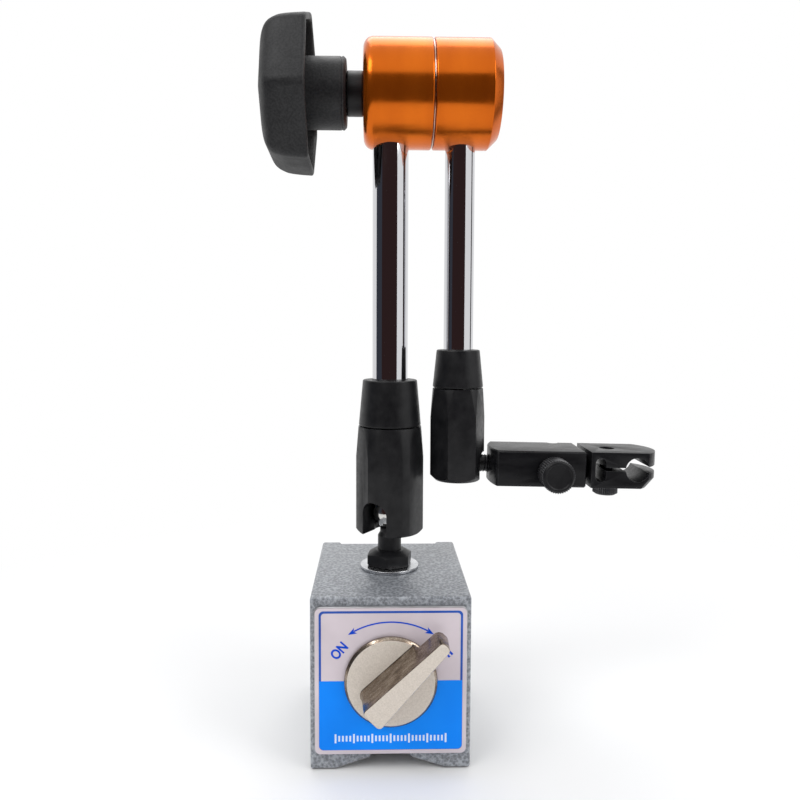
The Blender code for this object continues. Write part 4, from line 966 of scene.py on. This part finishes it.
def makeElbow():
    sizes = elbowSizes
    low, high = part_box("elbow_left")
    radius = (high.y - low.y) / 2
    left, split = low.x - elbowPlace.x, high.x - elbowPlace.x
    orange = [finishes["orangeAlloy"]]
    face = softCorners([(sizes["bore"], split), (radius, split), (radius, split - 0.004)], sizes["lip"])
    profile = face[:-1] + roundedEnd(radius, left, sizes["fillet"], sizes["bore"])
    shell = lathe("elbow_left_turned", profile, elbowFrame, orange, 160, True)
    settle(shell, "main_arm", "orange_alloy", "elbow_left")
    low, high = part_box("elbow_right")
    start, right = low.x - elbowPlace.x, high.x - elbowPlace.x
    face = softCorners(
        [(sizes["bore"], start), (radius, start), (radius, start + sizes["faceStart"])],
        sizes["lip"])
    floor = right - sizes["recessDepth"]
    cup = softCorners(
        [(sizes["recess"] + sizes["rim"], right), (sizes["recess"], right), (sizes["recess"], floor),
         (sizes["bore"], floor)], sizes["soft"])
    bevelled = softCorners(
        [(radius, start + sizes["faceStart"]), (radius, right - sizes["chamfer"]),
         (radius - sizes["chamfer"], right), (sizes["recess"] + sizes["rim"], right)], sizes["lip"])
    profile = face[:-1] + bevelled + cup[1:]
    shell = lathe("elbow_right_turned", profile, elbowFrame, orange, 160, True)
    settle(shell, "second_arm", "orange_alloy", "elbow_right")
    low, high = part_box("elbow_washer")
    outer = (high.y - low.y) / 2
    profile = bored(
        [(outer - 0.0001, high.x - elbowPlace.x), (outer, middleOf("elbow_washer").x - elbowPlace.x),
         (outer - 0.0001, low.x - elbowPlace.x)], outer - 0.007)
    ring = lathe("elbow_ring_turned", profile, elbowFrame, [finishes["brightSteel"]], 160, True)
    settle(ring, "main_arm", "bright_steel", "elbow_washer")


def makeDrawbar():
    sizes = elbowSizes
    low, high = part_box("drawbar")
    radius = (high.y - low.y) / 2
    left, right = low.x - elbowPlace.x, high.x - elbowPlace.x
    core = radius - 0.0003
    bar = lathe(
        "drawbar_turned",
        softCorners([(0, right), (core - sizes["barChamfer"], right), (core, right - sizes["barChamfer"]),
                     (core, left), (0, left)], 0.0002),
        elbowFrame, [finishes["blackSteel"]], 72)
    settle(bar, "lock_bar", "black_steel", "drawbar")
    washerLow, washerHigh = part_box("nut_washer")
    washerRadius = (washerHigh.y - washerLow.y) / 2
    profile = softCorners(
        [(radius + 0.0003, washerHigh.x - elbowPlace.x), (washerRadius, washerHigh.x - elbowPlace.x),
         (washerRadius, washerLow.x - elbowPlace.x), (radius + 0.0003, washerLow.x - elbowPlace.x)], 0.0002)
    washer = lathe(
        "nut_washer_turned", bored(profile, radius + 0.0002), elbowFrame, [finishes["zinc"]], 96, True)
    settle(washer, "lock_bar", "zinc", "nut_washer")
    nutLow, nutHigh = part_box("drawbar_nut")
    start, end = nutLow.x - elbowPlace.x, nutHigh.x - elbowPlace.x
    nut = chamferedNut(
        "drawbar_nut_turned", sizes["nut"], start, end, (sizes["nutCrown"], sizes["nutDrop"], sizes["nutDrop"]),
        0.00015, 0, elbowFrame, [finishes["zinc"]])
    hole = lathe(
        "hole", [(0, end + 0.002), (radius + 0.0003, end + 0.002), (radius + 0.0003, start - 0.002),
                 (0, start - 0.002)], elbowFrame, [finishes["zinc"]], 72)
    carve(nut, hole)
    settle(nut, "lock_bar", "zinc", "drawbar_nut")
    turns = 11.0
    pitch = 0.00085
    thread = growNodes(
        "drawbar_thread", {"Turns": turns, "Radius": core, "Length": turns * pitch, "Ridge": 0.0003},
        wireThread, finishes["blackSteel"],
        elbowFrame @ Matrix.Translation((0, 0, right - sizes["barChamfer"] - 0.0003 - turns * pitch)))
    settle(thread, "lock_bar", "black_steel")


makeElbow()
makeDrawbar()
print("elbow ready")


# Star knob: a rounded seven-sided dome, hollow behind, on a stepped hub

knobSizes = {
    "corner": 0.0267, "round": 0.0040, "wall": 0.0024, "sides": 7, "turn": 20.4, "rim": 0.0262, "hub": 0.0116,
    "hubEdge": 0.0008, "groovePlace": 0.0012, "groove": 0.0002, "cornerSteps": 12, "sideSteps": 6,
    "bore": 0.0058}
# Each pair is a share of the reach and a share of the dome's depth
knobDomeShares = (
    (1.0, 0.0), (0.99, 0.25), (0.975, 0.45), (0.955, 0.56), (0.91, 0.70), (0.84, 0.80),
    (0.72, 0.875), (0.50, 0.94), (0.25, 0.985), (0.06, 1.0))


def smoothShares(points, between):
    # A curve through the points, with more of them in between
    ends = [points[0], *points, points[-1]]
    smooth = []
    for before, first, second, after in zip(ends, ends[1:], ends[2:], ends[3:]):
        for step in range(between):
            share = step / between
            smooth.append(tuple(
                0.5 * (2 * b + (c - a) * share + (2 * a - 5 * b + 4 * c - d) * share ** 2
                       + (3 * b - a - 3 * c + d) * share ** 3)
                for a, b, c, d in zip(before, first, second, after)))
    return smooth + [points[-1]]


def knobOutline(reach):
    sizes = knobSizes
    half = 180 / sizes["sides"]
    centre = reach - sizes["round"]
    outline = []
    for side in range(sizes["sides"]):
        facing = 2 * half * side
        middle = (centre * math.cos(math.radians(facing)), centre * math.sin(math.radians(facing)))
        outline += arc(middle, sizes["round"], facing - half, facing + half, sizes["cornerSteps"])
        ahead = math.radians(facing + 2 * half)
        following = (centre * math.cos(ahead), centre * math.sin(ahead))
        lift = (sizes["round"] * math.cos(math.radians(facing + half)),
                sizes["round"] * math.sin(math.radians(facing + half)))
        for step in range(1, sizes["sideSteps"]):
            share = step / sizes["sideSteps"]
            outline.append((
                middle[0] * (1 - share) + following[0] * share + lift[0],
                middle[1] * (1 - share) + following[1] * share + lift[1]))
    return outline


def makeKnob():
    sizes = knobSizes
    low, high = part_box("knob")
    face, start = elbowPlace.x - low.x, elbowPlace.x - high.x
    depth = face - sizes["rim"]
    wall = sizes["wall"]
    shares = smoothShares(knobDomeShares, 4)
    outer, inner = knobOutline(sizes["corner"]), knobOutline(sizes["corner"] - wall)
    loops = []
    for reach, deep in reversed(shares):
        height = -sizes["rim"] - wall * 0.3 - (depth - wall * 1.3) * deep
        loops.append([(across * reach, up * reach, height) for across, up in inner])
    for step in range(1, 8):
        # the rim is rounded over from the hollow to the outside
        angle = math.pi * step / 8
        ring = knobOutline(sizes["corner"] - wall / 2 - wall / 2 * math.cos(angle))
        loops.append([(across, up, -sizes["rim"] - wall * 0.3 * (1 - math.sin(angle))) for across, up in ring])
    for reach, deep in shares:
        height = -sizes["rim"] - wall * 0.3 - (depth - wall * 0.3) * deep
        loops.append([(across * reach, up * reach, height) for across, up in outer])
    plastic = [finishes["mouldedPlastic"]]
    turn = elbowFrame @ Matrix.Rotation(math.radians(sizes["turn"]), 4, "Z")
    knob = skin("star_knob", loops, turn, plastic, 50)
    hubRadius, groove = sizes["hub"], sizes["groove"]
    grooveStart = -start - sizes["groovePlace"]
    profile = softCorners(
        [(sizes["bore"], -start), (hubRadius - sizes["hubEdge"], -start),
         (hubRadius, -start - sizes["hubEdge"]), (hubRadius, grooveStart),
         (hubRadius - groove, grooveStart - groove), (hubRadius - groove, grooveStart - 2 * groove),
         (hubRadius, grooveStart - 3 * groove), (hubRadius, -face + wall * 0.7),
         (sizes["bore"], -face + wall * 0.7)], 0.0005)
    hub = lathe("hub", bored(profile, sizes["bore"] - 0.0001), elbowFrame, plastic, 96, True)
    carve(knob, hub, "UNION")
    shadeSoft(knob, 50)
    settle(knob, "lock_knob", "black_plastic", "knob")
    low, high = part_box("knob_collar")
    radius = (high.y - low.y) / 2
    profile = softCorners(
        [(0.0044, high.x - elbowPlace.x), (radius, high.x - elbowPlace.x),
         (radius, low.x - elbowPlace.x), (0.0044, low.x - elbowPlace.x)], 0.0005)
    collar = lathe("knob_collar_turned", bored(profile, 0.0043), elbowFrame, [finishes["blackSteel"]], 96, True)
    settle(collar, "main_arm", "black_steel", "knob_collar")


makeKnob()
print("star knob ready")


# Clamp head

headSizes = {
    "stud": 0.0030, "studStart": 0.0054, "studEnd": 0.0220, "studPin": 0.0019, "screwPlace": 0.0311,
    "screwSink": 0.0010, "headFace": 0.0183, "headNeck": 0.0103, "headRadius": 0.0055, "shank": 0.0025,
    "shankEnd": 0.0035, "knurls": 44, "knurl": 0.00036, "clampPlace": 0.0516, "clampNeck": -0.0063,
    "clampLow": -0.0099, "clampTip": 0.0047, "clampRadius": 0.0042, "clampShank": 0.0023, "clampKnurls": 36,
    "edge": 0.0005}


def knurledScrew(name, profile, head, count, place, body, node):
    # head holds the radius, low end and high end of the gripped part
    sizes = headSizes
    core = lathe(name, profile, place, [finishes["blackSteel"]], 96)
    settle(core, body, "black_steel", node)
    radius, low, high = head
    grip = growNodes(
        name + "_grip",
        {"Count": count, "Circle": radius - sizes["knurl"] * 0.9, "Ridge": sizes["knurl"],
         "Length": high - low - 2 * sizes["edge"]},
        wireRidges, finishes["blackEdge"], place @ Matrix.Translation((0, 0, (low + high) / 2)))
    settle(grip, body, "black_steel")


def makeHead():
    sizes = headSizes
    along = headFrame @ Matrix.Rotation(quarter, 4, "Y")
    black = [finishes["blackAlloy"], finishes["blackEdge"]]
    block = softenedCopy("adjust_block_milled", "adjust_block", 0.00022, black)
    settle(block, "clamp_head", "black_alloy", "adjust_block")
    jaw = softenedCopy("jaw_milled", "jaw", 0.00022, black)
    settle(jaw, "stem_jaw", "black_alloy", "jaw")
    low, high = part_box("second_ball")
    settle(makeBall("second_ball_ground", (high.y - low.y) / 2, secondFrame), "second_swivel_ball",
           "bright_steel", "second_ball")
    core = sizes["stud"] - 0.00025
    stud = lathe(
        "clamp_stud_turned",
        softCorners([(0, sizes["studEnd"]), (core, sizes["studEnd"]), (core, sizes["studStart"] + 0.0003),
                     (sizes["studPin"], sizes["studStart"]), (sizes["studPin"], 0.0008), (0, 0.0008)], 0.0002),
        along, [finishes["blackSteel"]], 64)
    settle(stud, "clamp_head", "black_steel", "clamp_stud")
    turns = 16.0
    length = sizes["studEnd"] - sizes["studStart"] - 0.0012
    thread = growNodes(
        "clamp_stud_thread", {"Turns": turns, "Radius": core, "Length": length, "Ridge": 0.00026},
        wireThread, finishes["blackSteel"], along @ Matrix.Translation((0, 0, sizes["studStart"] + 0.0007)))
    settle(thread, "clamp_head", "black_steel")
    radius, neck, face, edge = sizes["headRadius"], sizes["headNeck"], sizes["headFace"], sizes["edge"]
    core = radius - sizes["knurl"] * 0.8
    profile = softCorners(
        [(0, face - 0.0004), (core - 0.0014, face - 0.0004), (core - 0.0010, face), (core - edge, face),
         (core, face - edge), (core, neck + edge), (core - edge, neck), (sizes["shank"], neck),
         (sizes["shank"], sizes["shankEnd"]), (0, sizes["shankEnd"])], 0.0002)
    place = headFrame @ Matrix.Translation((sizes["screwPlace"], 0, -sizes["screwSink"])) @ facingViewer
    knurledScrew(
        "adjust_screw_turned", profile, (radius, neck, face), sizes["knurls"], place, "fine_screw",
        "adjust_screw")
    low, neck, radius = sizes["clampLow"], sizes["clampNeck"], sizes["clampRadius"]
    core = radius - sizes["knurl"] * 0.8
    profile = softCorners(
        [(0, sizes["clampTip"]), (sizes["clampShank"] - 0.0004, sizes["clampTip"]),
         (sizes["clampShank"], sizes["clampTip"] - 0.0004), (sizes["clampShank"], neck), (core - edge, neck),
         (core, neck - edge), (core, low + edge), (core - edge, low), (0, low)], 0.0002)
    place = headFrame @ Matrix.Translation((sizes["clampPlace"], 0, 0))
    knurledScrew(
        "clamp_screw_turned", profile, (radius, low, neck), sizes["clampKnurls"], place, "stem_screw",
        "clamp_screw")


makeHead()
print("clamp head ready")


# Rear screws: countersunk heads with a cross recess

screwSizes = {"head": 0.0026, "shank": 0.0014, "depth": 0.0010, "length": 0.006, "cross": 0.0030, "slot": 0.0006}


def makeRearScrews():
    sizes = screwSizes
    nodes = ["rear_screw_" + corner for corner in ("top_left", "top_right", "bottom_left", "bottom_right")]
    corner, opposite = middleOf(nodes[0]), middleOf(nodes[3])
    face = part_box(nodes[0])[1].y
    zinc = [finishes["zinc"]]
    screw = lathe(
        "screw",
        softCorners([(0, 0), (sizes["head"], 0), (sizes["shank"], -sizes["depth"]),
                     (sizes["shank"], -sizes["length"]), (0, -sizes["length"])], 0.00015),
        Matrix.Identity(4), zinc, 48)
    for wide, high in ((sizes["cross"], sizes["slot"]), (sizes["slot"], sizes["cross"])):
        recess = prism(
            "recess", [(wide / 2, high / 2), (-wide / 2, high / 2), (-wide / 2, -high / 2), (wide / 2, -high / 2)],
            -sizes["depth"] * 0.8, sizes["depth"], Matrix.Identity(4), zinc)
        carve(screw, recess)
    middle = (corner + opposite) / 2
    place = Matrix.Translation((middle.x, face, middle.z)) @ Matrix.Rotation(-quarter, 4, "X")
    screws = growNodes(
        "rear_screws",
        {"Across": abs(opposite.x - corner.x), "Up": abs(opposite.z - corner.z), "Fastener": screw},
        wireCorners, finishes["zinc"], place)
    bpy.data.objects.remove(screw)
    settle(screws, "base", "zinc", *nodes)


makeRearScrews()
print("rear screws ready")


# Frame nodes that stay as they are take their slot's finish
for name, node in frame["nodes"].items():
    node.data.materials.clear()
    node.data.materials.append(finishes[slotFinish[slotOf[name]]])
print("frame nodes painted")


# Camera, as in the photograph

cameraSizes = {
    "aside": -0.0045, "distance": 0.2645, "height": 0.1405, "heading": 1.6, "pitch": 4.2, "roll": 0.22, "lens": 35.1,
    "shiftAcross": 0.0019, "shiftUp": -0.03}


def makeCamera():
    sizes = cameraSizes
    data = bpy.data.cameras.new("camera")
    data.lens = sizes["lens"]
    data.sensor_width = 36
    data.shift_x = sizes["shiftAcross"]
    data.shift_y = sizes["shiftUp"]
    data.clip_start = 0.01
    camera = bpy.data.objects.new("camera", data)
    bpy.context.scene.collection.objects.link(camera)
    turn = (
        Matrix.Rotation(-math.radians(sizes["heading"]), 4, "Z")
        @ Matrix.Rotation(quarter - math.radians(sizes["pitch"]), 4, "X")
        @ Matrix.Rotation(math.radians(sizes["roll"]), 4, "Z"))
    place = (mainBall.x + sizes["aside"], mainBall.y - sizes["distance"], sizes["height"])
    camera.matrix_world = Matrix.Translation(place) @ turn
    bpy.context.scene.camera = camera


makeCamera()


# Studio: white floor and world, soft lamps, dark curved screens that only reflections see

studioSizes = {
    "floor": 3.0, "floorDrop": 0.0002, "worldLevel": 0.62, "paper": 0.93, "fadeStart": 0.07, "fadeEnd": 0.30,
    "lamps": (
        ((-0.75, -0.70, 1.00), 0.7, 6.5), ((0.85, -0.55, 0.85), 0.6, 4.5), ((0.0, 0.55, 1.25), 0.9, 5.0)),
    "screenRadius": 0.36, "screenHeight": 0.40, "screenSteps": 24,
    # from and to, in degrees from straight in front, minus to the left
    "screens": (
        (-100, -57, (0.045, 0.05, 0.065)), (-57, 42, (0.034, 0.018, 0.018)), (96, 108, (0.04, 0.035, 0.035)))}


def seenDirectly(tree):
    # 1 for what the camera sees straight, in a mirror or through glass
    path = addNode(tree, "ShaderNodeLightPath")
    seen = addNode(
        tree, "ShaderNodeMath",
        {0: path.outputs["Is Camera Ray"], 1: path.outputs["Is Glossy Ray"]}, operation="MAXIMUM")
    seen = addNode(
        tree, "ShaderNodeMath", {0: seen.outputs[0], 1: path.outputs["Is Transmission Ray"]},
        operation="MAXIMUM")
    return seen.outputs[0]


def makeFloor():
    sizes = studioSizes
    work = bmesh.new()
    bmesh.ops.create_grid(work, x_segments=1, y_segments=1, size=sizes["floor"])
    finish = bpy.data.materials.new("paper")
    finish.use_nodes = True
    tree = finish.node_tree
    shader = tree.nodes["Principled BSDF"]
    shader.inputs["Base Color"].default_value = (*(sizes["paper"],) * 3, 1)
    shader.inputs["Roughness"].default_value = 0.9
    shader.inputs["Specular IOR Level"].default_value = 0.1
    # away from the object the paper fades into the white of the background
    coordinates = addNode(tree, "ShaderNodeTexCoord")
    away = addNode(tree, "ShaderNodeVectorMath", {0: coordinates.outputs["Object"]}, operation="LENGTH")
    fade = addNode(
        tree, "ShaderNodeMapRange",
        {"Value": away.outputs["Value"], "From Min": sizes["fadeStart"], "From Max": sizes["fadeEnd"]})
    amount = addNode(
        tree, "ShaderNodeMath", {0: fade.outputs[0], 1: seenDirectly(tree)}, operation="MULTIPLY")
    white = addNode(tree, "ShaderNodeEmission", {"Color": (1.0, 1.0, 1.0, 1), "Strength": 1.0})
    both = addNode(
        tree, "ShaderNodeMixShader", {0: amount.outputs[0], 1: shader.outputs[0], 2: white.outputs[0]})
    tree.links.new(both.outputs[0], tree.nodes["Material Output"].inputs["Surface"])
    floor = makeObject("floor", work, Matrix.Translation((0, 0, -sizes["floorDrop"])), [finish])


def makeWorld():
    world = bpy.data.worlds.new("studio")
    bpy.context.scene.world = world
    world.use_nodes = True
    tree = world.node_tree
    tree.nodes.clear()
    soft = addNode(
        tree, "ShaderNodeBackground", {"Color": (0.97, 0.98, 1.0, 1), "Strength": studioSizes["worldLevel"]})
    white = addNode(tree, "ShaderNodeBackground", {"Color": (1.0, 1.0, 1.0, 1), "Strength": 1.0})
    both = addNode(
        tree, "ShaderNodeMixShader", {0: seenDirectly(tree), 1: soft.outputs[0], 2: white.outputs[0]})
    addNode(tree, "ShaderNodeOutputWorld", {"Surface": both.outputs[0]})


def aimed(place, target):
    return Matrix.Translation(place) @ (Vector(target) - Vector(place)).to_track_quat("-Z", "Y").to_matrix().to_4x4()


def makeLamps():
    for number, (place, size, power) in enumerate(studioSizes["lamps"]):
        data = bpy.data.lights.new(f"lamp{number}", "AREA")
        data.shape = "SQUARE"
        data.size = size
        data.energy = power
        lamp = bpy.data.objects.new(f"lamp{number}", data)
        bpy.context.scene.collection.objects.link(lamp)
        lamp.matrix_world = aimed(place, (0, 0, 0.1))


def makeScreens():
    sizes = studioSizes
    middle = (mainBall + secondBall) / 2
    for number, (start, end, colour) in enumerate(sizes["screens"]):
        finish = bpy.data.materials.new(f"screenCloth{number}")
        finish.use_nodes = True
        tree = finish.node_tree
        tree.nodes.clear()
        glow = addNode(tree, "ShaderNodeEmission", {"Color": (*colour, 1), "Strength": 1.0})
        addNode(tree, "ShaderNodeOutputMaterial", {"Surface": glow.outputs[0]})
        work = bmesh.new()
        columns = []
        for across, deep in arc((middle.x, middle.y), sizes["screenRadius"], start - 90, end - 90,
                                sizes["screenSteps"]):
            columns.append([work.verts.new((across, deep, up)) for up in (0, sizes["screenHeight"])])
        for left, right in zip(columns, columns[1:]):
            work.faces.new((left[0], right[0], right[1], left[1]))
        screen = makeObject(f"screen{number}", work, Matrix.Identity(4), [finish])
        screen.visible_camera = False
        screen.visible_diffuse = False
        screen.visible_shadow = False


makeFloor()
makeWorld()
makeLamps()
makeScreens()
view = bpy.context.scene.view_settings
view.view_transform = "Standard"
print("studio ready")
